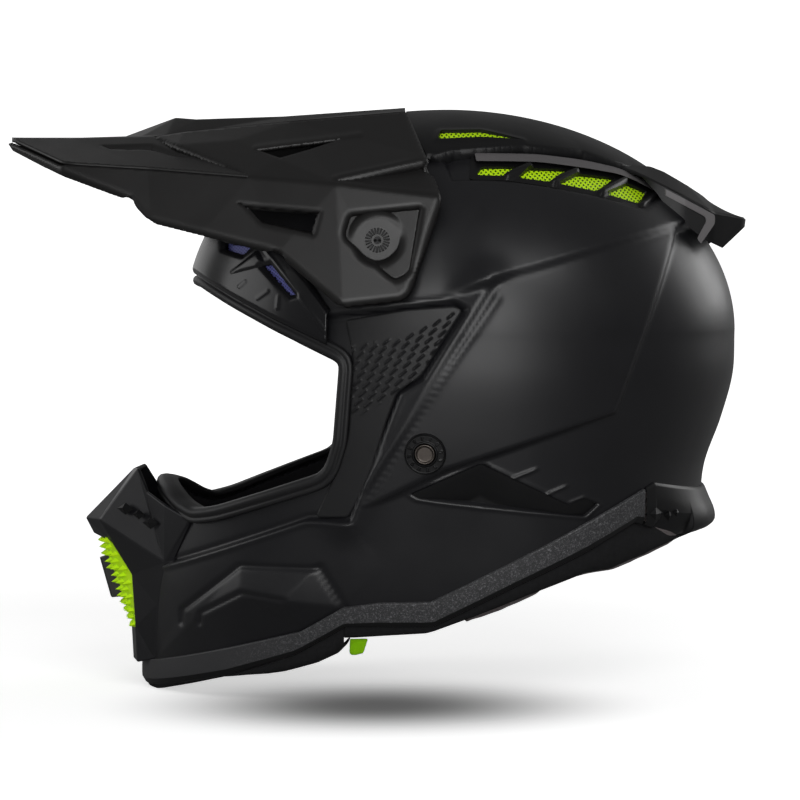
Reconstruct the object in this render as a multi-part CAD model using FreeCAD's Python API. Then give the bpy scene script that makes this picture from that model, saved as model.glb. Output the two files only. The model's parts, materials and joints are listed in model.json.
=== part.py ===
"""Motocross helmet: a moulded shell with its peak, vents, liners, pads, straps and trim.

Millimetres.  The rider looks along -Y, +Z is up and the rider's left is +X.  The origin is the
centre of the head that the helmet sits on.  Pieces that follow the shell are cut from layers of
one egg-shaped form: a layer is what lies between two offsets of the form, and a side outline drawn
in the YZ plane and pushed across X gives the piece its edge.
"""
import FreeCAD, Part
import math
import os

Vector = FreeCAD.Vector
doc = FreeCAD.newDocument("MotocrossHelmet")

# ------------------------------------------------------------------ driving dimensions
SIZES = [
    # the egg-shaped form of the shell
    ("crown_height", 147.0, "top of the shell above the head centre"),
    ("temple_height", 38.0, "height at which the shell is longest and widest"),
    ("back_reach", 132.7, "from the widest point to the back, at temple height"),
    ("front_reach", 154.0, "from the widest point to the brow, at temple height"),
    ("half_width", 127.0, "half width at temple height"),
    ("widest_point", 12.0, "how far behind the head centre the form is widest"),
    ("crown_point", -8.0, "where the top of the form lies, fore and aft"),
    # walls and layers, from the outside inwards
    ("shell_wall", 3.2, "moulded shell"),
    ("layer_gap", 0.4, "air between a liner and what it lies against"),
    ("impact_foam", 33.5, "expanded polystyrene liner"),
    ("comfort_foam", 7.5, "crown comfort liner"),
    ("cheek_core_foam", 16.5, "polystyrene carrier of a cheek pad"),
    ("cheek_foam", 27.0, "soft part of a cheek pad"),
    ("chin_foam", 19.0, "foam inside the chin bar"),
    # trims that stand on the shell
    ("panel_proud", 1.0, "raised chin and side panels of the shell"),
    ("grip_proud", 1.2, "rubber grip panel above the shell"),
    ("hem_proud", 2.0, "hem band outside the shell"),
    ("exhaust_proud", 7.5, "rear exhaust outside the shell"),
    ("frame_proud", 2.6, "vent frames above the shell"),
    ("stripe_wall", 0.8, "grey strip above the vent frames"),
    ("cover_proud", 6.5, "crown cover above the shell"),
    ("cover_wall", 2.5, "moulded crown cover"),
    ("gasket_proud", 1.0, "eye port gasket outside the shell"),
    ("gasket_depth", 8.0, "eye port gasket from the shell face inwards"),
    ("gasket_width", 5.5, "eye port gasket across its lip"),
    # peak
    ("peak_wall", 2.4, "moulded peak"),
    ("pivot_y", -42.8, "peak pivot, fore and aft"),
    ("pivot_z", 83.5, "peak pivot, height"),
    ("pivot_face", 119.0, "outer face of the round seat for the side screw, from the middle"),
    ("pivot_seat_wall", 3.0, "thickness of that seat"),
    ("recess_depth", 2.5, "depth of the recess round the side screw"),
    ("seat_radius", 10.5, "radius of that round seat"),
    ("screw_shank", 3.0, "radius of the side screw in the peak's bore"),
    ("screw_bore_gap", 0.05, "radial clearance of that bore"),
    ("screw_head", 9.0, "radius of the side screw's flange"),
    ("screw_knurl", 5.8, "radius of the knurled ring"),
    ("peak_travel", 8.0, "degrees from the highest to the lowest stop"),
    ("slot_half_width", 2.8, "half width of the centre slot"),
    ("centre_head", 5.5, "radius of the centre screw's head"),
    ("centre_shank", 2.5, "radius of the centre screw"),
    ("saddle_radius", 66.8, "top of the slotted saddle, from the pivot"),
    ("saddle_wall", 1.8, "thickness of that saddle"),
    ("saddle_half_width", 9.0, "half width of that saddle"),
    ("running_gap", 0.3, "air between the peak and what it slides past"),
    # retention
    ("rivet_y", -19.1, "strap rivet, fore and aft"),
    ("rivet_z", -19.9, "strap rivet, height"),
    ("rivet_cap", 5.4, "radius of the rivet's steel cap"),
    ("rivet_ring", 10.2, "radius of the ring round the rivet"),
    ("strap_width", 24.0, "webbing"),
    ("strap_wall", 1.8, "webbing thickness"),
    ("strap_layers", 3.0, "layers of the folded long strap"),
    ("ring_section", 2.8, "side of the D rings' square section"),
    ("ring_half_width", 14.4, "half width of a D ring"),
    ("ring_drop", 15.0, "height of a D ring below the middle of its bar"),
    ("ring_height", -90.5, "height of the D rings' bars"),
    ("ring_depth", 13.0, "depth of the pair inside the form"),
    ("ring_spacing", 3.8, "between the two D rings"),
]

sheet = doc.addObject("Spreadsheet::Sheet", "Sizes")
for row, (alias, value, meaning) in enumerate(SIZES, start=1):
    sheet.set("A%d" % row, meaning)
    sheet.set("B%d" % row, str(value))
    sheet.setAlias("B%d" % row, alias)
doc.recompute()


def size(alias):
    return float(getattr(sheet, alias))


# Heights below the temples where the form changes, each with its back, front and half width
# measured from the widest point and as a share of the size at temple height.
LOWER_FORM = [
    (-165.0, 0.895, 1.156, 0.709),
    (-125.0, 0.889, 1.156, 0.775),
    (-90.0, 0.882, 1.150, 0.858),
    (-48.0, 0.870, 1.112, 0.925),
    (-5.0, 0.952, 1.057, 0.979),
]
CROWN_STEPS = [0.0, 0.26, 0.48, 0.67, 0.82, 0.92, 0.975, 0.995]
CROWN_POWER = {"back": 2.0, "front": 2.2, "side": 2.25}
OUTSIDE_CORNERS = 32
INSIDE_CORNERS = 20


# ------------------------------------------------------------------ the form and its layers
def egg(section, corners):
    """Corners of a level section: half an ellipse behind the widest point, a longer one before it."""
    height, middle, back, front, half = section
    points = []
    for i in range(corners):
        turn = 2.0 * math.pi * i / corners
        reach = back if math.cos(turn) > 0 else front
        points.append(Vector(half * math.sin(turn), middle + reach * math.cos(turn), height))
    return points


def flat_face(*corners):
    return Part.Face(Part.makePolygon(list(corners) + [corners[0]]))


def faceted(rings):
    """A solid of flat triangles through rings of corners, alike on the left and on the right."""
    faces = [flat_face(*rings[0]), flat_face(*rings[-1])]
    count = len(rings[0])
    for low, high in zip(rings, rings[1:]):
        for i in range(count):
            j = (i + 1) % count
            if i < count / 2:
                faces.append(flat_face(low[i], low[j], high[j]))
                faces.append(flat_face(low[i], high[j], high[i]))
            else:
                faces.append(flat_face(low[i], low[j], high[i]))
                faces.append(flat_face(low[j], high[j], high[i]))
    shell = Part.makeShell(faces)
    shell.sewShape()
    return Part.makeSolid(Part.Shell(shell.Faces))


def crown_share(step, power):
    """How far the crown still reaches at this share of its rise."""
    return (1.0 - step ** power) ** (1.0 / power)


def form_sections(offset):
    """Height, widest point, back, front and half width of each level section, from the bottom."""
    back, front, half = size("back_reach"), size("front_reach"), size("half_width")
    temple, rise = size("temple_height"), size("crown_height") - size("temple_height")
    widest, top = size("widest_point"), size("crown_point")
    sections = []
    for height, back_share, front_share, half_share in LOWER_FORM:
        sections.append((height, widest, back * back_share - offset, front * front_share - offset,
                         half * half_share - offset))
    for step in CROWN_STEPS:
        behind = top + (widest + back - top - offset) * crown_share(step, CROWN_POWER["back"])
        before = top + (widest - front - top + offset) * crown_share(step, CROWN_POWER["front"])
        middle = top + (widest - top) * crown_share(step, 2.0)
        sections.append((temple + (rise - offset) * step, middle, behind - middle, middle - before,
                         (half - offset) * crown_share(step, CROWN_POWER["side"])))
    return sections


def form(offset):
    """The egg, made smaller all round by the offset (larger when it is negative)."""
    sections = form_sections(offset)
    corners = OUTSIDE_CORNERS
    if offset > 0:
        corners = INSIDE_CORNERS
        sections = sections[::2]
    return faceted([egg(section, corners) for section in sections])


def surface_x(y, height, offset=0.0):
    """Half width of the form at a point of the side view."""
    sections = form_sections(offset)
    for low, high in zip(sections, sections[1:]):
        if low[0] <= height <= high[0]:
            share = (height - low[0]) / (high[0] - low[0])
            middle, back, front, half = [a + share * (b - a) for a, b in zip(low[1:], high[1:])]
            reach = back if y > middle else front
            return half * math.sqrt(1.0 - ((y - middle) / reach) ** 2)
    raise ValueError("outside the form: %.1f, %.1f" % (y, height))


forms = {}


def form_at(offset):
    """Each offset of the form is made once and shared."""
    key = round(offset, 3)
    if key not in forms:
        feature = doc.addObject("Part::Feature", "Form")
        feature.Shape = form(key)
        forms[key] = feature
    return forms[key]


def cut(name, base, tool):
    feature = doc.addObject("Part::Cut", name)
    feature.Base = base
    feature.Tool = tool
    return feature


def common(name, *shapes):
    feature = doc.addObject("Part::MultiCommon", name)
    feature.Shapes = list(shapes)
    return feature


def fuse(name, *shapes):
    feature = doc.addObject("Part::MultiFuse", name)
    feature.Shapes = list(shapes)
    return feature


layers = {}


def layer(outer, inner):
    key = (round(outer, 3), round(inner, 3))
    if key not in layers:
        layers[key] = cut("Layer", form_at(outer), form_at(inner))
    return layers[key]


# ------------------------------------------------------------------ outlines
def rounded_wire(points, plane):
    """A closed outline.  A point may carry a third number, the radius that rounds its corner."""
    corners = [Vector(*plane(p[0], p[1])) for p in points]
    radii = [p[2] if len(p) > 2 else 0.0 for p in points]
    edges = []
    starts = []
    ends = []
    for i, corner in enumerate(corners):
        before = (corners[i - 1] - corner)
        after = (corners[(i + 1) % len(corners)] - corner)
        if radii[i] == 0.0:
            starts.append(corner)
            ends.append(corner)
            continue
        half_turn = before.getAngle(after) / 2.0
        reach = radii[i] / math.tan(half_turn)
        reach = min(reach, 0.45 * before.Length, 0.45 * after.Length)
        radius = reach * math.tan(half_turn)
        start = corner + before.normalize() * reach
        end = corner + after.normalize() * reach
        bisector = (before + after).normalize()
        middle = corner + bisector * (radius / math.sin(half_turn) - radius)
        edges.append((i, Part.Arc(start, middle, end).toShape()))
        starts.append(start)
        ends.append(end)
    arcs = dict(edges)
    run = []
    for i in range(len(corners)):
        if i in arcs:
            run.append(arcs[i])
        following = starts[(i + 1) % len(corners)]
        if (following - ends[i]).Length > 1e-6:
            run.append(Part.makeLine(ends[i], following))
    return Part.Wire(run)


def side_plane(y, z):
    return (0, y, z)


def plan_plane(x, y):
    return (x, y, 0)


def front_plane(x, z):
    return (x, 0, z)


def prism(name, wire, direction, start, length):
    """An outline pushed along an axis, from start for the length."""
    outline = doc.addObject("Part::Feature", name + "Outline")
    outline.Shape = wire
    solid = doc.addObject("Part::Extrusion", name)
    solid.Base = outline
    solid.Dir = direction
    solid.LengthFwd = start + length
    solid.LengthRev = -start
    solid.Solid = True
    return solid


ACROSS = 320.0


def across(name, points):
    """A side outline through the whole helmet."""
    return prism(name, rounded_wire(points, side_plane), Vector(1, 0, 0), -ACROSS / 2, ACROSS)


def left_half(name, points):
    """A side outline through the rider's left half only."""
    return prism(name, rounded_wire(points, side_plane), Vector(1, 0, 0), 20.0, ACROSS / 2)


nodes = []


def node(name, feature):
    feature.Label = name
    nodes.append(feature)
    return feature


def mirrored(name, left):
    right = doc.addObject("Part::Mirroring", name)
    right.Source = left
    right.Normal = Vector(1, 0, 0)
    return right


def node_pair(name, left):
    """The left piece and its mirror image on the right."""
    node(name + "_left", left)
    node(name + "_right", mirrored(name + "_right", left))


# Edges that neighbours share, in the side view, each running from front to back.
HEM_TOP = [(-162.0, -134.0), (-81.0, -111.0), (-60.0, -98.0), (-42.0, -95.0), (-17.0, -94.2),
           (38.4, -66.4), (68.0, -51.0), (95.0, -37.0)]
HEM_BOTTOM = [(-163.0, -149.0), (-156.0, -147.0), (-118.7, -136.2), (-84.4, -123.6),
              (-58.6, -108.0), (-15.0, -107.0), (24.8, -86.8), (59.0, -71.0), (85.0, -57.0)]
REAR_TOP = [(95.0, -37.0), (123.0, -43.0)]
REAR_BOTTOM = [(85.0, -57.0), (110.0, -66.0), (133.0, -64.0)]
ROLL_BOTTOM = [(52.0, -85.0), (62.0, -82.0), (75.0, -81.0), (94.0, -74.6), (111.5, -68.0),
               (128.0, -66.0)]
EYE_PORT = [(-210.0, 68.0), (-136.0, 66.0), (-116.0, 55.0), (-93.7, 43.6), (-57.0, 26.5, 7.0),
            (-60.4, -16.0), (-66.0, -35.0, 12.0), (-126.0, -55.5, 10.0), (-137.0, -56.5),
            (-164.6, -49.7), (-210.0, -33.0)]
FAR = 260.0


def build_windows():
    """Openings that several pieces share."""
    windows = {}
    windows["port"] = across("EyePort", EYE_PORT)
    inner = rounded_wire(EYE_PORT, side_plane).makeOffset2D(-size("gasket_width"))
    windows["port_lip"] = prism("EyePortLip", inner, Vector(1, 0, 0), -ACROSS / 2, ACROSS)
    above = HEM_TOP + REAR_TOP[1:] + [(FAR, -43.0), (FAR, FAR), (-FAR, FAR), (-FAR, -134.0)]
    windows["above_hem"] = across("AboveHem", above)
    return windows


windows = build_windows()


# ------------------------------------------------------------------ vents and their places
CROWN_WINDOWS = [
    [(8.9, 120.3), (28.0, 120.4), (20.9, 115.6), (5.8, 116.0)],
    [(32.8, 119.7), (52.0, 119.4), (43.8, 112.6), (26.6, 114.8)],
    [(57.5, 117.2), (77.5, 115.6), (66.2, 108.3), (46.8, 111.9)],
    [(84.3, 113.0), (94.8, 108.9), (88.3, 102.4), (70.8, 107.1)],
]
EXHAUST_MOUTHS = [
    [(94.0, -44.0), (104.0, -45.0), (100.0, -58.0), (92.0, -56.0)],
    [(107.0, -45.5), (116.0, -46.5), (113.0, -60.5), (103.0, -59.0)],
]
CROWN_FRAME = [(-10.0, 125.5, 3.0), (-6.0, 112.5, 3.0), (21.0, 112.0), (41.0, 109.0), (63.5, 104.5),
               (89.0, 98.0, 4.0), (106.0, 107.5, 3.0), (88.4, 119.3), (60.5, 127.3), (29.3, 129.7)]
BROW_WINDOWS = [
    [(-119.4, 82.3), (-104.2, 80.0), (-109.3, 75.6), (-119.4, 78.5)],
    [(-98.8, 70.5), (-94.4, 71.5), (-81.6, 56.5), (-84.6, 55.5)],
]
BROW_FRAME = [(-150.0, 92.0), (-128.0, 88.0), (-100.0, 84.0), (-86.0, 76.0), (-66.0, 48.0, 4.0),
              (-68.0, 33.5, 2.0), (-93.7, 45.4), (-116.0, 56.8), (-136.0, 67.8), (-150.0, 68.5)]
CHIN_PANEL = [(-112.0, -78.0), (-72.0, -77.4), (-59.5, -97.0), (-80.0, -106.5), (-88.7, -95.0),
              (-109.7, -92.3)]
SIDE_PANEL = [(13.0, 60.5), (105.5, 86.5), (72.5, 0.5), (-7.5, -27.0)]
SIDE_VENT = [(-26.6, -40.3), (8.1, -25.0), (22.5, -32.5), (40.1, -41.0), (51.7, -46.4),
             (68.0, -47.0), (60.9, -53.1)]
GRIP = [(-58.8, 45.0, 3.0), (-5.1, 52.0, 3.0), (-1.2, 49.6, 3.0), (-11.4, 34.5), (-22.0, 17.4, 12.0),
        (-33.7, 9.8, 4.0), (-38.6, -4.2), (-48.5, -37.0), (-57.6, -52.6, 3.0), (-78.0, -53.2),
        (-64.5, -33.0, 10.0), (-58.0, -14.0), (-55.5, 27.5, 6.0)]


def union_of(name, outlines, maker):
    solids = [maker(name + "Opening", outline) for outline in outlines]
    return fuse(name, *solids)


def build_shell():
    wall = size("shell_wall")
    panels = common("ShellPanels", layer(-size("panel_proud"), 0.5 * wall),
                    union_of("PanelOutlines", [CHIN_PANEL, SIDE_PANEL], across))
    blank = fuse("ShellWithPanels", common("ShellBlank", layer(0.0, wall), windows["above_hem"]), panels)
    opened = cut("ShellPort", blank, windows["port"])
    windows["crown"] = union_of("CrownWindows", CROWN_WINDOWS, across)
    windows["brow"] = union_of("BrowWindows", BROW_WINDOWS, across)
    vented = cut("ShellCrownVents", opened, windows["crown"])
    vented = cut("ShellBrowVents", vented, windows["brow"])
    vented = cut("ShellMouthVent", vented, mouth_opening())
    screws = pivot_cylinder("ShellScrewHoles", size("screw_shank"), -ACROSS / 2, ACROSS)
    centre = upright("ShellCentreHole", size("centre_shank"), 100.0, 80.0)
    return cut("ShellDrilled", vented, fuse("ShellHoles", rivet_holes(), screws, centre))


def mouth_opening():
    width, top, bottom = 21.0, -76.0, -112.0
    outline = [(-width, bottom, 4.0), (width, bottom, 4.0), (width, top, 4.0), (-width, top, 4.0)]
    return prism("MouthOpening", rounded_wire(outline, front_plane), Vector(0, 1, 0), -200.0, 90.0)


def rivet_axis(name, radius, start, length):
    """A cylinder across X through the strap rivet on the left."""
    post = doc.addObject("Part::Cylinder", name)
    post.Radius = radius
    post.Height = length
    post.Placement = FreeCAD.Placement(Vector(start, size("rivet_y"), size("rivet_z")),
                                       FreeCAD.Rotation(Vector(0, 1, 0), 90))
    return post


def rivet_holes():
    return rivet_axis("RivetHole", size("rivet_ring"), -ACROSS / 2, ACROSS)


def build_trims():
    wall = size("shell_wall")
    gasket = common("GasketBlank", layer(-size("gasket_proud"), size("gasket_depth")), windows["port"])
    node("eye_port_gasket", cut("EyePortGasket", gasket, windows["port_lip"]))
    band = across("HemOutline", HEM_TOP + list(reversed(HEM_BOTTOM)))
    node("hem_band", common("HemBand", layer(-size("hem_proud"), wall), band))
    rear = across("RearOutline", REAR_TOP + [(150.0, -43.0), (150.0, -64.0)] + REAR_BOTTOM[::-1])
    rear = common("RearExhaustBlank", layer(-size("exhaust_proud"), wall), rear)
    mouths = union_of("ExhaustMouths", EXHAUST_MOUTHS, across)
    hollow = common("ExhaustHollow", layer(-size("exhaust_proud") - 1.0, -1.0), mouths)
    node("rear_exhaust", cut("RearExhaust", rear, hollow))
    grip = common("GripLeft", layer(-size("grip_proud"), 0.0), left_half("GripOutline", GRIP))
    grip = cut("GripRivet", grip, rivet_axis("GripHole", size("rivet_ring"), 60.0, 100.0))
    node_pair("strap_grip", grip)
    vent = common("SideVentLeft", layer(-size("frame_proud"), 0.0),
                  left_half("SideVentOutline", SIDE_VENT))
    node_pair("side_vent", vent)


def build_crown():
    proud = size("frame_proud")
    wall = size("shell_wall")
    frame = common("CrownFrameBlank", layer(-proud, 0.0), left_half("CrownFrameOutline", CROWN_FRAME))
    frame = cut("CrownFrameOpened", frame, windows["crown"])
    node_pair("crown_vent", cut("CrownVentLeft", frame, windows["tail"]))
    mesh = common("CrownMeshLeft", layer(1.4, wall - 0.4),
                  union_of("CrownMeshPanes", CROWN_WINDOWS, left_half))
    node_pair("crown_mesh", mesh)
    brow = common("BrowFrameBlank", layer(-proud, 0.0), across("BrowFrameOutline", BROW_FRAME))
    node("brow_vent", cut("BrowVent", brow, windows["brow"]))
    node_pair("brow_mesh", common("BrowMeshLeft", layer(1.0, wall - 0.4),
                                  union_of("BrowMeshPanes", BROW_WINDOWS, left_half)))


COVER = [(-24.6, 170.0), (-24.6, 148.6), (-28.4, 143.6), (-17.8, 126.8, 2.0), (-4.6, 130.0), (29.3, 132.0), (60.5, 129.5),
         (88.4, 121.0), (108.0, 109.0), (128.0, 88.0), (160.0, 88.0), (160.0, 170.0)]
TOP_SLOT = [(-12.5, 138.0), (8.7, 139.0), (28.4, 138.4), (8.9, 142.5), (-11.4, 142.2)]


TOP_SLOT_MESH = [(-16.0, 136.5), (34.0, 136.5), (34.0, 144.0), (-16.0, 144.0)]


TAIL_PLAN = [(56, 80), (64, 100), (58, 122, 12.0), (38, 147.5, 8.0), (-38, 147.5, 8.0),
             (-58, 122, 12.0), (-64, 100), (-56, 80)]
STRIPE = [(6.1, 124.3), (7.4, 121.4), (28.9, 124.2), (60.0, 121.6), (87.2, 116.7), (105.9, 108.1),
          (126.0, 99.5), (124.5, 90.0), (119.5, 84.0), (121.5, 83.0), (127.5, 88.5), (129.5, 100.2),
          (106.5, 111.2), (88.0, 120.0), (60.0, 126.6), (29.3, 128.9)]


def build_spoiler():
    """A hollow cap over the crown that runs out into the tail wing."""
    proud, wall = size("cover_proud"), size("cover_wall")
    outline = rounded_wire(COVER, side_plane)
    cap = common("CoverCap", layer(-proud, wall - proud),
                 prism("CoverOutline", outline, Vector(1, 0, 0), -ACROSS / 2, ACROSS))
    inside = prism("CoverInside", outline.makeOffset2D(-wall), Vector(1, 0, 0), -ACROSS / 2, ACROSS)
    rim = common("CoverRim", layer(wall - proud, 0.0), cut("CoverRimOutline", across("CoverEdge", COVER),
                                                           inside))
    side = across("TailSide", [(78.0, 128.0), (104.8, 120.5), (134.5, 103.8), (146.7, 98.2, 1.5),
                               (146.0, 91.3, 1.5), (134.0, 80.0), (124.0, 86.0), (107.0, 106.0),
                               (92.0, 116.0)])
    tail_plan = rounded_wire(TAIL_PLAN, plan_plane)
    plan = prism("TailPlan", tail_plan, Vector(0, 0, 1), 60.0, 100.0)
    windows["tail"] = common("TailBlock", side, plan)
    tail = cut("TailOnShell", windows["tail"], form_at(0.0))
    spoiler = fuse("Spoiler", cap, rim, tail)
    node("crown_spoiler", cut("SpoilerSlotted", spoiler, across("TopSlots", TOP_SLOT)))
    plan_outside = tail_plan.makeOffset2D(size("stripe_wall"))
    skin = cut("TailSkin", prism("TailSkinPlan", plan_outside, Vector(0, 0, 1), 60.0, 100.0), plan)
    frame = size("frame_proud")
    skins = fuse("StripeSkins", cut("StripeOnFrame", layer(-frame - size("stripe_wall"), -frame), plan),
                 cut("StripeOnTail", skin, form_at(-frame)))
    node_pair("vent_stripe", common("VentStripe", skins, left_half("StripeOutline", STRIPE)))
    node_pair("top_mesh", common("TopMeshLeft", layer(wall - proud + 1.0, wall - proud + 2.2),
                                 left_half("TopMeshOutline", TOP_SLOT_MESH)))


# ------------------------------------------------------------------ the muzzle
def muzzle_section(height, nose, blunt, flare, tail):
    """Half of a level section through the muzzle: nose, blunt corner and tail on the chin bar."""
    points = [(0.0, nose), (blunt, nose + 2.0), (flare, tail), (flare, -135.0)]
    mirrored = [(-x, y) for x, y in reversed(points[1:])]
    outline = [Vector(x, y, height) for x, y in points + mirrored]
    return Part.makePolygon(outline + [outline[0]])


MUZZLE_SECTIONS = [
    (-146.0, -168.5, 24.0, 44.0, -156.0),
    (-117.0, -170.5, 22.0, 46.0, -154.0),
    (-90.0, -174.0, 20.0, 48.0, -152.0),
    (-61.0, -197.0, 18.0, 50.0, -152.0),
    (-37.5, -171.0, 30.0, 52.0, -148.0),
]


def build_muzzle():
    block = doc.addObject("Part::Feature", "MuzzleBlock")
    block.Shape = Part.makeLoft([muzzle_section(*row) for row in MUZZLE_SECTIONS], True, True, False)
    deep = doc.addObject("Part::Feature", "MuzzleDeep")
    deep.Shape = block.Shape.translated(Vector(0, 5.0, 0))
    skin = cut("MuzzleSkin", block, deep)
    face = prism("MuzzleFace", rounded_wire(
        [(-17.0, -116.0, 3.0), (17.0, -116.0, 3.0), (17.0, -70.0, 3.0), (-17.0, -70.0, 3.0)],
        front_plane), Vector(0, 1, 0), -230.0, 80.0)
    hem = across("HemCopy", HEM_TOP + list(reversed(HEM_BOTTOM)))
    solid = cut("MuzzleOnShell", block, form_at(0.0))
    solid = cut("MuzzleNoHem", solid, common("HemBody", form_at(-size("hem_proud")), hem))
    solid = cut("MuzzleNoPort", solid, windows["port"])
    solid = cut("MuzzleOpened", solid, face)
    node("muzzle_cover", solid)
    plate = common("GrillePlate", skin, face)
    grille = fuse("GrilleStudded", plate, *grille_studs(block.Shape))
    node("muzzle_grille", grille)
    bar = prism("MuzzleBar", rounded_wire(
        [(-193.0, -70.0), (-190.0, -84.0), (-183.2, -103.5, 1.5), (-170.0, -108.0), (-170.0, -104.5),
         (-181.2, -101.0), (-187.6, -83.0), (-188.0, -70.0)], side_plane), Vector(1, 0, 0), -3.0, 6.0)
    node("muzzle_bar", cut("MuzzleBarFitted", bar, grille))


def grille_studs(block):
    """Rows of four-sided studs that stand on the face of the muzzle insert."""
    studs = []
    for row in range(7):
        height = -74.0 - row * 6.4
        for column in range(-2, 3):
            x = column * 6.2
            line = Part.makeLine(Vector(x, -260.0, height), Vector(x, -150.0, height))
            touch = min(v.Point.y for v in block.common(line).Vertexes)
            foot = Part.makePolygon([Vector(x + dx, touch + 2.0, height + dz)
                                     for dx, dz in ((-2.2, 0), (0, -2.2), (2.2, 0), (0, 2.2), (-2.2, 0))])
            stud = doc.addObject("Part::Feature", "Stud")
            stud.Shape = Part.makeLoft([foot, Part.Vertex(Vector(x, touch - 3.0, height))], True, True)
            studs.append(stud)
    return studs


# ------------------------------------------------------------------ liners and pads
CHEEK_SIDE = [(-60.5, -58.0, 6.0), (-46.0, -25.0, 6.0), (44.0, -25.0, 6.0), (47.0, -56.0, 6.0),
              (8.0, -80.0, 4.0), (-58.0, -93.0, 4.0)]
CHEEK_SOFT = [(-60.5, -58.0, 6.0), (-46.0, -25.0, 6.0), (44.0, -25.0, 6.0), (47.0, -60.0, 6.0),
              (8.0, -86.0, 4.0), (-57.5, -98.0, 4.0)]
CHEEK_LIP = [(-58.0, -97.0), (-57.0, -115.0, 3.0), (-19.0, -112.5), (5.0, -103.5), (34.0, -92.0, 4.0),
             (48.0, -80.0), (47.0, -57.0), (8.0, -81.0), (-42.0, -91.0)]
CORE_CHANNEL = 14.4
LIP_CHANNEL = 21.5


def strap_band(name, outer, inner, top, bottom, extra=0.0):
    """What lies between two depths of the form, as wide as the webbing, on the left."""
    half = size("strap_width") / 2 + extra
    middle = size("rivet_y")
    outline = [(middle - half, bottom), (middle + half, bottom), (middle + half, top),
               (middle - half, top)]
    return common(name, layer(outer, inner), left_half(name + "Outline", outline))


def build_liners():
    first = size("shell_wall") + size("layer_gap")
    impact_inside = first + size("impact_foam")
    comfort_outside = impact_inside + size("layer_gap")
    comfort_inside = comfort_outside + size("comfort_foam")
    crown = [(-FAR, 75.0), (-140.0, 75.0), (-118.0, 64.5), (-93.0, 53.0), (-50.0, 32.0), (-50.0, -20.0),
             (50.0, -20.0), (72.0, -40.0), (FAR, -40.0), (FAR, FAR), (-FAR, FAR)]
    impact = common("ImpactBlank", layer(first, impact_inside), across("ImpactOutline", crown))
    pocket_left = strap_band("StrapPocketLeft", 0.0, 13.0, 0.0, -30.0, 3.0)
    pocket_right = mirrored("StrapPocketRight", pocket_left)
    impact = cut("ImpactPocketLeft", impact, pocket_left)
    node("impact_liner", cut("ImpactLiner", impact, pocket_right))
    pads = [(-FAR, 82.0), (-60.0, 60.0), (-44.0, 26.0), (-44.0, -16.0), (50.0, -16.0), (72.0, -34.0),
            (FAR, -34.0), (FAR, FAR), (-FAR, FAR)]
    node("comfort_liner", common("ComfortLiner", layer(comfort_outside, comfort_inside),
                                 across("ComfortOutline", pads)))
    chin = [(-FAR, -63.0), (-126.0, -63.0), (-76.0, -47.0), (-70.0, -60.0), (-67.0, -98.0),
            (-64.0, -125.0, 4.0), (-91.0, -134.5), (-120.0, -138.0), (-FAR, -138.0)]
    chin_blank = common("ChinBlank", layer(first, first + size("chin_foam")), across("ChinOutline", chin))
    node("chin_bar_liner", cut("ChinBarLiner", chin_blank, mouth_opening()))
    roll = [(52.0, -62.0), (70.0, -46.0), (FAR, -46.0), (FAR, -66.0)] + ROLL_BOTTOM[::-1]
    node("neck_roll", common("NeckRoll", layer(first, first + 17.0), across("RollOutline", roll)))


def build_cheeks():
    first = size("shell_wall") + size("layer_gap")
    core_inside = first + size("cheek_core_foam")
    core = common("CheekCoreBlank", layer(first, core_inside), left_half("CheekSide", CHEEK_SIDE))
    channel = strap_band("CheekChannel", 0.0, CORE_CHANNEL, 0.0, -140.0, 3.0)
    slot = strap_band("CheekCoreSlot", 0.0, LIP_CHANNEL, -56.0, -140.0, 3.0)
    node_pair("cheek_core", cut("CheekCoreLeft", core, fuse("CheekCoreGap", channel, slot)))
    soft = common("CheekSoft", layer(core_inside, core_inside + size("cheek_foam")),
                  left_half("CheekSoftSide", CHEEK_SOFT))
    lip = common("CheekLip", layer(first + 0.3, core_inside + 12.0), left_half("CheekLipSide", CHEEK_LIP))
    whole = fuse("CheekPadWhole", soft, lip)
    channel = strap_band("LipChannel", 0.0, LIP_CHANNEL, -76.0, -140.0, 5.0)
    node_pair("cheek_pad", cut("CheekPadLeft", whole, channel))
    tab = [(-56.8, -115.2), (-47.5, -114.4), (-50.0, -122.5, 2.0), (-57.5, -124.5, 2.0)]
    node_pair("pull_tab", common("PullTabLeft", layer(6.0, 8.0), left_half("TabOutline", tab)))


# ------------------------------------------------------------------ retention
def ring_centre():
    """Middle of the D rings' bars, on the left."""
    y, z = size("rivet_y"), size("ring_height")
    return Vector(surface_x(y, z) - size("ring_depth"), y, z)


def loop_outline(radius):
    """The flattened loop that the webbing makes round the two bars, seen along Y."""
    centre = ring_centre()
    reach = size("ring_spacing") / 2
    left = Vector(centre.x - reach, 0, centre.z)
    right = Vector(centre.x + reach, 0, centre.z)
    up = Vector(0, 0, radius)
    away = Vector(radius, 0, 0)
    return Part.Wire([
        Part.Arc(right + up, right + away, right - up).toShape(),
        Part.makeLine(right - up, left - up),
        Part.Arc(left - up, left - away, left + up).toShape(),
        Part.makeLine(left + up, right + up),
    ])


def strap_loop():
    bore = 0.75 * size("ring_section") + 0.2
    half = size("ring_half_width") - size("ring_section") - 1.0
    start = size("rivet_y") - half
    outer = prism("LoopOuter", loop_outline(bore + 1.4), Vector(0, 1, 0), start, 2 * half)
    inner = prism("LoopInner", loop_outline(bore), Vector(0, 1, 0), start - 1.0, 2 * half + 2.0)
    return [cut("StrapLoop", outer, inner)]


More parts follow.
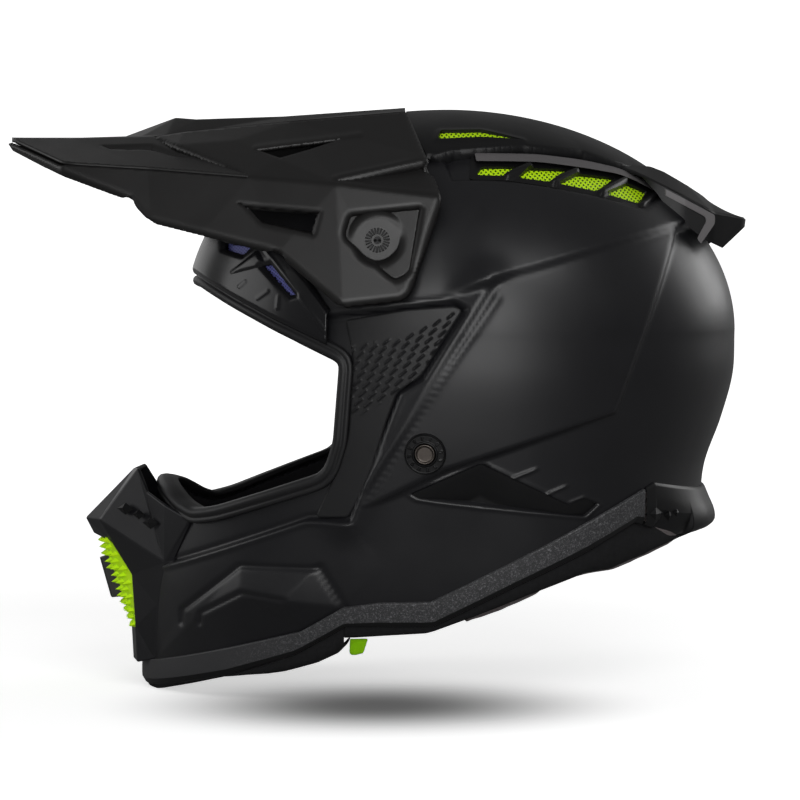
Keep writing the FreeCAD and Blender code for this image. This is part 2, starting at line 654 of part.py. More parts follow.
def d_ring(name, side):
    """A straight bar closed by a hoop that hangs below it, cut from square bar."""
    section, half, drop = size("ring_section"), size("ring_half_width"), size("ring_drop")
    centre = ring_centre() + Vector(side * size("ring_spacing") / 2, 0, 0)
    y, z = centre.y, centre.z
    outline = rounded_wire([(y - half, z + section / 2, 1.5), (y + half, z + section / 2, 1.5),
                            (y + half, z - drop, 11.0), (y - half, z - drop, 11.0)], side_plane)
    start = centre.x - section / 2
    outer = prism(name + "Outer", outline, Vector(1, 0, 0), start, section)
    inner = prism(name + "Inner", outline.makeOffset2D(-section), Vector(1, 0, 0), start - 1.0,
                  section + 2.0)
    return cut(name, outer, inner)


def build_retention():
    first = size("shell_wall") + size("layer_gap")
    web_inside = first + size("strap_wall")
    hole = rivet_axis("StrapHole", 3.0, 60.0, 100.0)
    long_end = first + size("strap_layers") * size("strap_wall")
    folded = fuse("StrapFolded", strap_band("StrapUpper", first, web_inside, -8.0, -40.0),
                  strap_band("StrapFold", first, long_end, -36.0, -100.0))
    node("chin_strap_long", cut("StrapLongHoled", folded, hole))
    short = strap_band("StrapShort", first, web_inside, -8.0, -88.0)
    short = fuse("StrapWithLoop", cut("StrapShortHoled", short, hole), *strap_loop())
    node("chin_strap_short", mirrored("StrapShortRight", short))
    node("d_ring_outer", mirrored("RingOuterRight", d_ring("RingOuter", 1)))
    node("d_ring_inner", mirrored("RingInnerRight", d_ring("RingInner", -1)))
    print("D ring pair at", ring_centre())
    plate = strap_band("AnchorPlate", web_inside + 0.2, web_inside + 1.6, -9.0, -31.0, -1.0)
    node_pair("strap_anchor", cut("AnchorHoled", plate, rivet_axis("PlateHole", 3.0, 60.0, 100.0)))
    skin = surface_x(size("rivet_y"), size("rivet_z"))
    inside = skin - size("shell_wall")
    ring = cut("RivetRingBlank", rivet_axis("RivetRingBody", size("rivet_ring"), inside + 1.2, 5.0),
               rivet_axis("RivetRingBore", size("rivet_cap"), 100.0, 60.0))
    node_pair("rivet_ring", ring)
    tail = surface_x(size("rivet_y"), size("rivet_z"), web_inside + 5.4)
    cap = fuse("RivetBody", rivet_axis("RivetCap", size("rivet_cap"), inside, 6.8),
               rivet_axis("RivetShank", 2.95, tail, inside - tail + 1.0),
               rivet_axis("RivetTail", 4.5, tail - 1.4, 1.8))
    node_pair("strap_rivet", cap)


# ------------------------------------------------------------------ peak
PEAK_SECTIONS = [
    # y, then height in the middle, shoulder x and z, crease x and z, edge x and z
    (-239.0, 136.8, 42.0, 136.0, 62.0, 133.0, 70.0, 126.0),
    (-198.0, 136.6, 46.0, 134.5, 80.0, 120.8, 88.0, 108.0),
    (-157.0, 137.2, 52.0, 134.0, 88.0, 118.5, 99.0, 90.0),
    (-105.0, 140.5, 58.0, 135.0, 102.0, 113.6, 116.0, 74.0),
    (-60.0, 146.0, 62.0, 139.5, 114.0, 111.5, 131.0, 48.0),
    (-8.0, 153.0, 64.0, 145.0, 116.0, 114.0, 132.0, 48.0),
]
PEAK_SIDE = [(-237.0, 138.0), (-229.7, 130.2, 2.0), (-200.9, 117.2, 8.0), (-167.3, 104.1),
             (-156.2, 94.6), (-149.7, 92.1), (-128.4, 86.3), (-92.0, 79.0, 6.0), (-59.5, 52.0, 3.0),
             (-30.3, 55.2, 3.0), (-27.5, 58.5), (-12.6, 102.9, 5.0), (-20.0, 126.0, 4.0),
             (-30.5, 143.5), (-27.0, 148.0), (-27.0, 165.0), (-237.0, 165.0)]
PEAK_PLAN = [(0.0, -237.0), (44.0, -231.5, 14.0), (83.0, -199.0, 12.0), (97.0, -156.0), (113.0, -105.0),
             (135.0, -60.0), (135.0, -8.0)]
PEAK_VENT = [(-112.2, 101.8, 2.0), (-69.1, 97.4, 2.0), (-72.8, 84.0, 3.0), (-102.2, 90.2, 3.0)]
SCREW_RECESS = [(-60.6, 81.9, 3.0), (-56.0, 95.7, 3.0), (-21.5, 99.5, 3.0), (-33.7, 62.5, 3.0)]


def peak_section(station, drop):
    """A section of the peak across the helmet; drop lowers and narrows it to the inner face."""
    y, middle, shoulder_x, shoulder_z, crease_x, crease_z, edge_x, edge_z = station
    spread = (edge_x - crease_x) / (crease_z - edge_z)
    half = [(shoulder_x - drop * 0.2, shoulder_z - drop), (crease_x - drop * 0.8, crease_z - drop * 0.8),
            (edge_x + drop * (8 * spread - 1.05), edge_z - drop * 8)]
    points = [(0.0, middle - drop)] + half
    closed = points + [(-x, z) for x, z in reversed(half)]
    return [Vector(x, y, z) for x, z in closed]


def peak_form(name, drop):
    feature = doc.addObject("Part::Feature", name)
    feature.Shape = faceted([peak_section(s, drop) for s in PEAK_SECTIONS])
    return feature


def build_peak():
    outer = peak_form("PeakOuter", 0.0)
    inner = doc.addObject("Part::Feature", "PeakInner")
    wall = size("peak_wall")
    shifted = [(s[0] - (5.0 if s is PEAK_SECTIONS[0] else 0.0) + (9.0 if s is PEAK_SECTIONS[-1] else 0.0),
                ) + s[1:] for s in PEAK_SECTIONS]
    inner.Shape = faceted([peak_section(s, wall) for s in shifted])
    mirrored = [(-p[0],) + tuple(p[1:]) for p in reversed(PEAK_PLAN[1:])]
    plan = prism("PeakPlan", rounded_wire(PEAK_PLAN + mirrored, plan_plane), Vector(0, 0, 1), 20.0, 180.0)
    trimmed = common("PeakTrimmed", outer, across("PeakSide", PEAK_SIDE), plan)
    duct = fuse("PeakWithDuct", trimmed, build_duct("Duct", 0.0))
    hollow = cut("PeakHollow", cut("PeakUnder", duct, inner), build_duct("DuctInside", wall))
    top = size("saddle_radius")
    floor = top - size("saddle_wall")
    hollow = cut("PeakCleared", hollow, saddle_block("SaddleUnder", floor - 6.0, floor))
    hollow = fuse("PeakSaddled", hollow, saddle_block("Saddle", floor, top))
    hollow = cut("PeakPocket", hollow, saddle_block("SaddlePocket", top, top + 20.0))
    hollow = cut("PeakSlotted", hollow, centre_slot())
    vented = cut("PeakVented", hollow, across("PeakVent", PEAK_VENT))
    backed = cut("RecessBacking", common("RecessBlock", trimmed, recess_prism("RecessWalls", wall)),
                 peak_form("PeakBehindRecess", size("recess_depth") + wall))
    pocket = cut("RecessPocket", recess_prism("RecessMouth", 0.0),
                 peak_form("PeakUnderRecess", size("recess_depth")))
    clear = cut("PeakRecessed", fuse("PeakBacked", vented, backed), pocket)
    behind = size("pivot_face") - size("pivot_seat_wall")
    clear = cut("PeakOffInserts", clear, pivot_cylinder("InsertAir", size("seat_radius"), -behind, 2 * behind))
    seats = fuse("PeakSeats", screw_seat("SeatLeft", 1), screw_seat("SeatRight", -1), seat_walls())
    mouths = fuse("PeakSeatMouths", seat_mouth("MouthLeft", 1), seat_mouth("MouthRight", -1))
    clear = cut("PeakSeated", fuse("PeakWithSeats", clear, seats), mouths)
    bored = cut("PeakBored", clear, pivot_cylinder(
        "PivotBore", size("screw_shank") + size("screw_bore_gap"), -ACROSS / 2, ACROSS))
    node("peak", bored)


DUCT_SIDE = [(-175.0, 130.0), (-173.5, 137.1), (-149.1, 146.6, 4.0), (-139.7, 145.1),
             (-94.3, 146.4), (-88.5, 145.1), (-31.8, 150.8), (-29.5, 148.0), (-31.0, 138.0)]
DUCT_PLAN = [(14, -178, 4.0), (34, -150), (40, -94), (46, -20), (-46, -20), (-40, -94), (-34, -150),
             (-14, -178, 4.0)]


def build_duct(name, inset):
    """The raised air duct along the middle of the peak; the inset gives its inside."""
    side = prism(name + "Side", rounded_wire(DUCT_SIDE, side_plane).translated(
        Vector(0, 2 * inset, -inset)), Vector(1, 0, 0), -ACROSS / 2, ACROSS)
    wire = rounded_wire(DUCT_PLAN, plan_plane)
    plan = prism(name + "Plan", wire.makeOffset2D(-inset) if inset else wire,
                 Vector(0, 0, 1), 100.0, 80.0)
    return common(name, side, plan)


def slot_travel():
    """How far the peak slides under its centre screw."""
    return size("saddle_radius") * math.radians(size("peak_travel"))


def centre_slot():
    half = size("slot_half_width")
    front = size("pivot_y") - half
    back = size("pivot_y") + slot_travel() + half
    outline = [(-half, front, half), (half, front, half), (half, back, half), (-half, back, half)]
    return prism("CentreSlot", rounded_wire(outline, plan_plane), Vector(0, 0, 1), 120.0, 60.0)


def saddle_block(name, inner, outer):
    """A band of the circle round the pivot, as long as the centre screw's head needs."""
    half, spare = size("saddle_half_width"), size("centre_head") + 2 * size("running_gap")
    ring = cut(name + "Band", pivot_cylinder(name + "Outer", outer, -half, 2 * half),
               pivot_cylinder(name + "Inner", inner, -half - 1.0, 2 * half + 2.0))
    start = size("pivot_y") - spare
    window = prism(name + "Window", rounded_wire(
        [(-half, start), (half, start), (half, start + slot_travel() + 2 * spare),
         (-half, start + slot_travel() + 2 * spare)], plan_plane), Vector(0, 0, 1), 120.0, 60.0)
    return common(name, ring, window)


def pivot_cylinder(name, radius, start, length):
    post = doc.addObject("Part::Cylinder", name)
    post.Radius = radius
    post.Height = length
    post.Placement = FreeCAD.Placement(Vector(start, size("pivot_y"), size("pivot_z")),
                                       FreeCAD.Rotation(Vector(0, 1, 0), 90))
    return post


def recess_prism(name, spare):
    """The outline of the recess round the side screws, with some spare all round."""
    wire = rounded_wire(SCREW_RECESS, side_plane)
    outline = wire.makeOffset2D(spare) if spare else wire
    return prism(name, outline, Vector(1, 0, 0), -ACROSS / 2, ACROSS)


def screw_seat(name, side):
    """The round flat seat under a side screw."""
    thick = size("pivot_seat_wall")
    start = size("pivot_face") - thick if side > 0 else -size("pivot_face")
    return pivot_cylinder(name, size("seat_radius"), start, thick)


def seat_walls():
    """The cup that joins each round seat to the floor of its recess."""
    radius, foot = size("seat_radius") + 1.5, size("pivot_face") - 0.6 * size("pivot_seat_wall")
    walls = cut("SeatWalls", pivot_cylinder("SeatWallBody", radius, -ACROSS / 2, ACROSS),
                pivot_cylinder("SeatWallInner", radius + 1.0, -foot, 2 * foot))
    return common("SeatCup", walls, peak_form("PeakAtSeat", size("recess_depth")))


def seat_mouth(name, side):
    """The air outside that seat."""
    start = size("pivot_face") if side > 0 else -size("pivot_face") - 30.0
    return pivot_cylinder(name, size("seat_radius"), start, 30.0)


def upright(name, radius, bottom, length):
    """An upright cylinder above the peak's pivot."""
    post = doc.addObject("Part::Cylinder", name)
    post.Radius = radius
    post.Height = length
    post.Placement = FreeCAD.Placement(Vector(0, size("pivot_y"), bottom), FreeCAD.Rotation())
    return post


def build_peak_fasteners():
    face = size("pivot_face")
    head = pivot_cylinder("ScrewFlange", size("screw_head"), face + 0.3, 1.6)
    knurl = pivot_cylinder("ScrewKnurl", size("screw_knurl"), face + 1.9, 2.0)
    foot = surface_x(size("pivot_y"), size("pivot_z")) - size("shell_wall")
    shank = pivot_cylinder("ScrewShank", size("screw_shank"), foot, face - foot + 1.0)
    screw = fuse("PeakScrewLeft", head, knurl, shank)
    node_pair("peak_screw", screw)
    seat = face - size("pivot_seat_wall") - 0.3
    boss = pivot_cylinder("InsertBoss", 8.0, 100.0, seat - 100.0)
    boss = cut("InsertOnShell", boss, form_at(0.0))
    boss = cut("InsertBored", boss, pivot_cylinder("InsertBore", size("screw_shank"), 60.0, 100.0))
    node_pair("peak_insert", boss)
    under = size("pivot_z") + size("saddle_radius") + size("running_gap")
    foot = under - 9.0
    centre = fuse("CentreScrew", upright("CentreHead", size("centre_head"), under, 1.5),
                  upright("CentreShank", size("centre_shank"), foot, under - foot + 0.5))
    node("peak_centre_screw", centre)
    bush_top = under - size("saddle_wall") - 2.0 * size("running_gap") - 0.2
    bush = cut("CentreBush", upright("CentreBushBody", 5.2, 130.0, bush_top - 130.0), form_at(0.0))
    node("peak_centre_bush", cut("CentreBushBored", bush, upright(
        "CentreBushBore", size("centre_shank"), 120.0, 60.0)))


# ------------------------------------------------------------------ assembly
node("shell", build_shell())
build_trims()
build_spoiler()
build_crown()
build_muzzle()
build_liners()
build_cheeks()
build_retention()
build_peak()
build_peak_fasteners()
doc.recompute()

faults = [o.Label for o in doc.Objects if "Invalid" in o.State or "Error" in o.State]
if faults:
    raise RuntimeError("objects that failed: %s" % ", ".join(faults))
for piece in nodes:
    if piece.Shape.isNull() or not piece.Shape.isValid() or not piece.Shape.Solids:
        raise RuntimeError("no sound solid: %s" % piece.Label)

os.makedirs("parts", exist_ok=True)
for piece in nodes:
    piece.Shape.exportStep("parts/%s.step" % piece.Label)
    print(piece.Label, len(piece.Shape.Solids), round(piece.Shape.Volume / 1000.0, 2), "cm3")
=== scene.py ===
# %% [markdown]
# # A motocross helmet, piece by piece
# The helmet is a matt black shell with a tilting peak, an open eye port, green vent meshes and a
# cloth lining. The imported model gives every piece its place, so this script only makes the
# surfaces that the eye meets: it reads the frame first, and keeps the size of its box, whose
# lowest point sets the floor.

# %% Load the frame
import json
import math

import bmesh
import bpy
import numpy as np
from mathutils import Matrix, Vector


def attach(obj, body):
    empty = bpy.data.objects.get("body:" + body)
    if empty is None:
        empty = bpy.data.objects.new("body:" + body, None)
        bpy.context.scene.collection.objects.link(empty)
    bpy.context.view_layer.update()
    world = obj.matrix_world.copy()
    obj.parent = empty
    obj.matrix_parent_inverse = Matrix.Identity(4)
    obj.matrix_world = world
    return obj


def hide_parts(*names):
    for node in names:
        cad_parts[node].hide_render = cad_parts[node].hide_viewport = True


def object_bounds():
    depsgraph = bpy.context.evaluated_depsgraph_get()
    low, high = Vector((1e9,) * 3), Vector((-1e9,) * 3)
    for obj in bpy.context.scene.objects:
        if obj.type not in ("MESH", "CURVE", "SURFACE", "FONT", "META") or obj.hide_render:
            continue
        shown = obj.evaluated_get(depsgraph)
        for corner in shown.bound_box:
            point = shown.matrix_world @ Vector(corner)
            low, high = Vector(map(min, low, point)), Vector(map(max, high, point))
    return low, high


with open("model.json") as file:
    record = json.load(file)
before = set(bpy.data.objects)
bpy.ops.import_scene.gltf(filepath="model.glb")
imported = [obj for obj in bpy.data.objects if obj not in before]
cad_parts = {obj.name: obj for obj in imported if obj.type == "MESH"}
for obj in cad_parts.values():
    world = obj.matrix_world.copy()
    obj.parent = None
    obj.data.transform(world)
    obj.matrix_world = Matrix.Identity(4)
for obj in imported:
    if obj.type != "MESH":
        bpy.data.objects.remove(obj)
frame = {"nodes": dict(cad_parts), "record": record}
cad_box = [list(corner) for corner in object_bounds()]
nodes = frame["nodes"]
MM = 0.001
print("nodes:", len(nodes), "box:", cad_box)

# %% [markdown]
# ## The camera
# A long lens far away keeps the side of the helmet flat, as a drawing of it would. It could also
# be turned down towards the floor, but then upright lines would lean. So the camera stays level
# with the brow, and the view is shifted down instead.

# %% Camera
CAMERA_PLACE = (1.5, -0.0318, 0.069)
LENS_MM, SENSOR_MM, SHIFT_DOWN = 127.4, 36.0, 0.1625
scene = bpy.context.scene


def link(piece):
    """Puts a new object into the scene."""
    scene.collection.objects.link(piece)
    return piece


camera_data = bpy.data.cameras.new("camera")
camera_data.lens, camera_data.sensor_width = LENS_MM, SENSOR_MM
camera_data.shift_y = -SHIFT_DOWN
camera_data.clip_end = 20.0
camera = link(bpy.data.objects.new("camera", camera_data))
camera.location = CAMERA_PLACE
camera.rotation_euler = (math.radians(90), 0, math.radians(90))
scene.camera = camera
scene.view_settings.view_transform = "Standard"
print("camera:", LENS_MM, "mm lens,", CAMERA_PLACE[0], "m from the middle")

# %% [markdown]
# ## Helpers for materials
# A finish is a small network of nodes. It could be wired by hand in the shader editor, but twenty
# finishes share the same few steps, so each step is a function: a node, a link, a grey value
# mapped to another range, a mix of two colours, and the bump that ends nearly every network.


# %% Node helpers
def new_material(name):
    """A material with an empty tree and its output."""
    material = bpy.data.materials.new(name)
    material.use_nodes = True
    tree = material.node_tree
    tree.nodes.clear()
    output = tree.nodes.new("ShaderNodeOutputMaterial")
    return material, tree, output


def add(tree, kind, inputs=None, **settings):
    """A node with its settings and its unlinked input values."""
    node = tree.nodes.new(kind)
    for key, value in settings.items():
        setattr(node, key, value)
    for key, value in (inputs or {}).items():
        node.inputs[key].default_value = value
    return node


def wire(tree, *pairs):
    """Links each pair of sockets, the first of a pair to the second."""
    for source, target in pairs:
        tree.links.new(source, target)


def ramp(tree, source, low, high, first, last):
    """Maps a grey value between two limits to a value between two others."""
    node = add(tree, "ShaderNodeMapRange", {"From Min": low, "From Max": high, "To Min": first,
                                            "To Max": last})
    wire(tree, (source, node.inputs["Value"]))
    return node.outputs["Result"]


def mixed(tree, share, first, second):
    """The colour that lies a share of the way between two."""
    mix = add(tree, "ShaderNodeMix", {6: (*first, 1), 7: (*second, 1)}, data_type="RGBA")
    wire(tree, (share, mix.inputs[0]))
    return mix.outputs[2]


def combined(tree, operation, first, second):
    """Two grey values, added or multiplied."""
    node = add(tree, "ShaderNodeMath", operation=operation)
    wire(tree, (first, node.inputs[0]), (second, node.inputs[1]))
    return node.outputs[0]


def textured(tree, where, kind, inputs, **settings):
    """A texture laid on coordinates."""
    node = add(tree, kind, inputs, **settings)
    wire(tree, (where, node.inputs["Vector"]))
    return node


def end_with_bump(tree, output, shader, color, height, strength, distance):
    """Ends a network: colour and bump on the shader, and the shader on the output."""
    bump = add(tree, "ShaderNodeBump", {"Strength": strength, "Distance": distance})
    wire(tree, (color, shader.inputs["Base Color"]), (height, bump.inputs["Height"]),
         (bump.outputs[0], shader.inputs["Normal"]), (shader.outputs[0], output.inputs[0]))


print("node helpers are ready")

# %% [markdown]
# ## The floor and its backdrop
# The floor is a pale sweep of paper that curves up behind the helmet. Plain white paper lit from
# above would grey towards the back, so the lens sees it glow a little, most of all far away. The
# lacquer sees a darker floor, as it would on a black cloth outside the view: that keeps a black
# helmet black. A soft oval shade is painted under the helmet, since large lamps leave almost no
# shadow there.

# %% Floor and backdrop
SHADE_PLACE, SHADE_SCALE, SHADE_DEPTH = (-0.88, 0.33, 0), (10.5, 7.6, 0), 0.12


def floor_mesh():
    """A level sheet that rises at its far end."""
    low = cad_box[0][2]
    profile = [(3.0, low), (-2.0, low), (-3.2, low + 0.25), (-3.6, low + 1.2), (-3.6, low + 4.0)]
    verts = [(x, y, z) for x, z in profile for y in (-5.0, 5.0)]
    faces = [(2 * i, 2 * i + 2, 2 * i + 3, 2 * i + 1) for i in range(len(profile) - 1)]
    mesh = bpy.data.meshes.new("floor")
    mesh.from_pydata(verts, [], faces)
    return mesh


def floor_shade(tree, where):
    """A soft dark oval: 1 away from it."""
    oval = textured(tree, where, "ShaderNodeMapping", {"Location": SHADE_PLACE,
                                                       "Scale": SHADE_SCALE})
    away = add(tree, "ShaderNodeVectorMath", operation="LENGTH")
    shade = add(tree, "ShaderNodeMapRange", {"From Max": 1.25, "To Min": SHADE_DEPTH,
                                             "To Max": 1.0}, interpolation_type="SMOOTHERSTEP")
    wire(tree, (oval.outputs["Vector"], away.inputs[0]),
         (away.outputs["Value"], shade.inputs["Value"]))
    return shade.outputs["Result"]


floor = link(bpy.data.objects.new("floor", floor_mesh()))
print("floor: at", round(cad_box[0][2], 4), "m")

# %% [markdown]
# The floor's material is two materials in one, and the kind of ray picks between them. The camera's
# rays see white paper that glows; all other rays see the darker floor and, far back, a faint painted
# glow that lights the helmet and shows in its reflections.

# %% White for the lens
LACQUER_SEES_FLOOR, LACQUER_SEES_BACKDROP = 0.3, 0.12


def sum_of(tree, first, second):
    """Two shaders, added."""
    total = add(tree, "ShaderNodeAddShader")
    wire(tree, (first.outputs[0], total.inputs[0]), (second.outputs[0], total.inputs[1]))
    return total


def studio_white():
    """White for the lens, darker for the lacquer's reflections."""
    material, tree, output = new_material("studio_white")
    where = add(tree, "ShaderNodeTexCoord").outputs["Object"]
    split = add(tree, "ShaderNodeSeparateXYZ")
    wire(tree, (where, split.inputs[0]))
    shade = floor_shade(tree, where)
    matt, glow = add(tree, "ShaderNodeBsdfDiffuse"), add(tree, "ShaderNodeEmission")
    near = add(tree, "ShaderNodeBsdfDiffuse", {"Color": (*(LACQUER_SEES_FLOOR,) * 3, 1)})
    far = add(tree, "ShaderNodeEmission")
    wire(tree, (shade, matt.inputs["Color"]), (shade, glow.inputs["Color"]),
         (ramp(tree, split.outputs["X"], -1.6, -0.3, 1.0, 0.6), glow.inputs["Strength"]),
         # far: a painted glow at the back, seen only by rays that are not the camera's
         (ramp(tree, split.outputs["X"], -2.4, -1.2, LACQUER_SEES_BACKDROP, 0.0),
          far.inputs["Strength"]))
    rays, pick = add(tree, "ShaderNodeLightPath"), add(tree, "ShaderNodeMixShader")
    wire(tree, (rays.outputs["Is Camera Ray"], pick.inputs[0]),
         (sum_of(tree, near, far).outputs[0], pick.inputs[1]),
         (sum_of(tree, matt, glow).outputs[0], pick.inputs[2]),
         (pick.outputs[0], output.inputs[0]))
    return material


floor.data.materials.append(studio_white())
print("floor finish: studio_white")

# %% [markdown]
# ## The lamps
# Large soft lamps stand in for the light tents of a studio. A matt black surface shows nothing but
# the soft patches that they lay on it, so each lamp is there for one patch: the whole side, the
# upper side, the rim of the back, the front and the far flank. The world adds a little light from
# everywhere.


# %% Lamps and world
def soft_lamp(name, place, target, size, power):
    """A rectangular area lamp that looks at a point."""
    data = bpy.data.lights.new(name, "AREA")
    data.shape = "RECTANGLE"
    data.size, data.size_y = size
    data.energy = power
    lamp = link(bpy.data.objects.new(name, data))
    lamp.location = place
    lamp.rotation_euler = (Vector(target) - Vector(place)).to_track_quat("-Z", "Y").to_euler()


LAMPS = {
    "key_side": ((1.85, -0.2, 0.05), (0, -0.05, -0.03), (1.4, 1.1), 20),
    "key_above": ((1.25, 0.35, 0.85), (0, 0.02, 0.03), (0.9, 0.5), 5),
    "rim_back": ((-0.9, 1.4, 0.55), (0, 0.05, 0), (1.0, 0.8), 7),
    "fill_front": ((-0.1, -1.8, 0.45), (0, -0.1, 0), (1.1, 0.9), 5),
    "fill_far": ((-1.5, -0.9, 0.6), (0, 0, 0), (1.1, 1.1), 2)}
for name, lamp_facts in LAMPS.items():
    soft_lamp(name, *lamp_facts)
WORLD_STRENGTH = 0.16
world = bpy.data.worlds.new("studio")
scene.world = world
world.use_nodes = True
background = world.node_tree.nodes["Background"]
background.inputs[0].default_value = (1, 1, 1, 1)
background.inputs[1].default_value = WORLD_STRENGTH
print("lamps:", ", ".join(LAMPS))

# %% [markdown]
# ## Finishes: moulded plastic and rubber
# Moulded black plastic is never one flat black: the lacquer has a fine grain that breaks the
# light, and the roughness drifts from place to place. A painted image could hold that, but it
# would have to be wrapped on every piece. Each finish here is built from object coordinates in
# metres instead, so the grain keeps its real size everywhere.


# %% Moulded finishes
def place_coordinates(tree):
    """Object coordinates: every piece stands at the origin, so they are the frame's metres."""
    return add(tree, "ShaderNodeTexCoord").outputs["Object"]


def around_color(color, share):
    """A darker and a lighter version of a colour."""
    return [c * (1 - share) for c in color], [c * (1 + share) for c in color]


def moulded(name, color, roughness, grain=0.02, grain_size=2500, blotch=0.15, specular=0.5):
    """Plastic, rubber or lacquer: a fine grain in the bump, slow drifts in colour and roughness."""
    drift = 0.05
    material, tree, output = new_material(name)
    shader = add(tree, "ShaderNodeBsdfPrincipled", {"Specular IOR Level": specular})
    where = place_coordinates(tree)
    fine = textured(tree, where, "ShaderNodeTexNoise", {"Scale": grain_size, "Detail": 3,
                                                        "Roughness": 0.6})
    slow = textured(tree, where, "ShaderNodeTexNoise", {"Scale": 22, "Detail": 4,
                                                        "Roughness": 0.55})
    wire(tree, (ramp(tree, slow.outputs["Fac"], 0.3, 0.7, roughness - drift, roughness + drift),
                shader.inputs["Roughness"]))
    color_out = mixed(tree, slow.outputs["Fac"], *around_color(color, blotch))
    end_with_bump(tree, output, shader, color_out, fine.outputs["Fac"], grain, 0.0004)
    return material


MOULDED = {
    "shell_black": dict(color=(0.0066, 0.0066, 0.008), roughness=0.38, grain=0.05),
    "peak_black": dict(color=(0.0062, 0.0058, 0.0058), roughness=0.42, grain=0.09,
                       grain_size=3200),
    "trim_black": dict(color=(0.0055, 0.0055, 0.006), roughness=0.4, grain=0.05, specular=0.3),
    "rubber_black": dict(color=(0.009, 0.009, 0.0098), roughness=0.45, grain=0.12,
                         grain_size=1800, specular=0.35),
    "screw_black": dict(color=(0.007, 0.007, 0.0075), roughness=0.5, specular=0.25),
    "gloss_black": dict(color=(0.008, 0.008, 0.009), roughness=0.25, specular=0.35),
    "stripe_grey": dict(color=(0.11, 0.104, 0.107), roughness=0.5, grain=0.06),
    "neon_green": dict(color=(0.62, 1.0, 0.004), roughness=0.42, grain=0.05, blotch=0.08)}
finish = {name: moulded(name, **facts) for name, facts in MOULDED.items()}
print("moulded finishes:", ", ".join(finish))

# %% [markdown]
# The band along the lower edge is dark rubber with pale specks in it. They could be scattered as
# thousands of tiny flakes, but they have no height to speak of. So Voronoi cells give the specks:
# a cell shows only where its own random number is high, so they are scattered and uneven. The
# chin's part of the band has none.


# %% Speckled band
def speckled(name, color, speck):
    """Rubber with pale specks that begin behind the chin."""
    material, tree, output = new_material(name)
    shader = add(tree, "ShaderNodeBsdfPrincipled", {"Roughness": 0.46})
    where = place_coordinates(tree)
    cells = textured(tree, where, "ShaderNodeTexVoronoi", {"Scale": 2100})
    grit = textured(tree, where, "ShaderNodeTexNoise", {"Scale": 900, "Detail": 5,
                                                        "Roughness": 0.75})
    shade, split = add(tree, "ShaderNodeRGBToBW"), add(tree, "ShaderNodeSeparateXYZ")
    wire(tree, (cells.outputs["Color"], shade.inputs[0]), (where, split.inputs[0]))
    specks = combined(tree, "MULTIPLY", ramp(tree, shade.outputs[0], 0.45, 0.9, 0.0, 1.0),
                      ramp(tree, grit.outputs["Fac"], 0.42, 0.66, 0.0, 1.0))
    behind_chin = ramp(tree, split.outputs["Y"], -0.125, -0.07, 0.0, 1.0)
    shown = combined(tree, "MULTIPLY", behind_chin, specks)
    end_with_bump(tree, output, shader, mixed(tree, shown, color, speck),
                  grit.outputs["Fac"], 0.25, 0.0005)
    return material


finish["hem_grey"] = speckled("hem_grey", (0.032, 0.032, 0.034), (0.24, 0.24, 0.25))
print("speckled finish: hem_grey")

# %% [markdown]
# The lining is a brushed knit. Modelling its loops would need millions of points, so two crossed
# waves make them in the bump, noise breaks their rows, and a little sheen gives the soft edge that
# cloth shows against the light. Webbing and leathercloth are the same rule with other threads.


# %% Cloth
def cloth(name, color, thread=1400, sheen=0.3, contrast=0.35):
    """Knit, webbing or leathercloth: crossed threads and fuzz."""
    material, tree, output = new_material(name)
    shader = add(tree, "ShaderNodeBsdfPrincipled", {"Roughness": 0.92, "Sheen Weight": sheen,
                                                    "Sheen Roughness": 0.5,
                                                    "Specular IOR Level": 0.2})
    where = place_coordinates(tree)
    across, along = [textured(tree, where, "ShaderNodeTexWave",
                              {"Scale": thread, "Distortion": 1.5, "Detail": 2},
                              bands_direction=axis).outputs["Fac"] for axis in "YZ"]
    fuzz = textured(tree, where, "ShaderNodeTexNoise", {"Scale": 320, "Detail": 6,
                                                        "Roughness": 0.7})
    total = combined(tree, "ADD", combined(tree, "MULTIPLY", across, along), fuzz.outputs["Fac"])
    color_out = mixed(tree, ramp(tree, total, 0.35, 1.2, 0.0, 1.0),
                      *around_color(color, contrast))
    end_with_bump(tree, output, shader, color_out, total, 0.7, 0.0004)
    return material


finish["fabric_taupe"] = cloth("fabric_taupe", (0.105, 0.082, 0.082))
finish["leather_black"] = cloth("leather_black", (0.014, 0.014, 0.015), thread=500, sheen=0.0)
finish["webbing_black"] = cloth("webbing_black", (0.018, 0.018, 0.018), thread=900, sheen=0.1)
print("cloth finishes: fabric_taupe, leather_black, webbing_black")

# %% [markdown]
# The hard foam of a helmet is polystyrene: beads that steam has swollen until they press flat
# against each other. That is exactly what Voronoi cells are, so their borders become the grooves,
# with painted shade in them.


# %% Beaded foam
def beaded(name, color):
    """Expanded polystyrene: pressed beads that show as cells, with painted shade in their grooves.
    """
    material, tree, output = new_material(name)
    shader = add(tree, "ShaderNodeBsdfPrincipled", {"Roughness": 0.7})
    beads = textured(tree, place_coordinates(tree), "ShaderNodeTexVoronoi", {"Scale": 330},
                     feature="DISTANCE_TO_EDGE")
    rim = ramp(tree, beads.outputs["Distance"], 0.0, 0.12, 0.0, 1.0)
    # painted shade: the grooves between the beads are coloured darker than the beads
    groove = [c * 0.45 for c in color]
    end_with_bump(tree, output, shader, mixed(tree, rim, groove, color), rim, 0.5, 0.0005)
    return material


finish["foam_black"] = beaded("foam_black", (0.03, 0.03, 0.032))
print("beaded finish: foam_black")

# %% [markdown]
# The vents are closed by punched sheet: rows of small round holes. The holes are too many to cut,
# so they are painted as dark discs on a grid of the side view, and pressed in a little by the
# bump. Their dark colour is painted shade: the dark of the vent behind the sheet.

# %% Punched mesh
HOLE_SHARE, ROW_TURN = 0.3, math.radians(38)


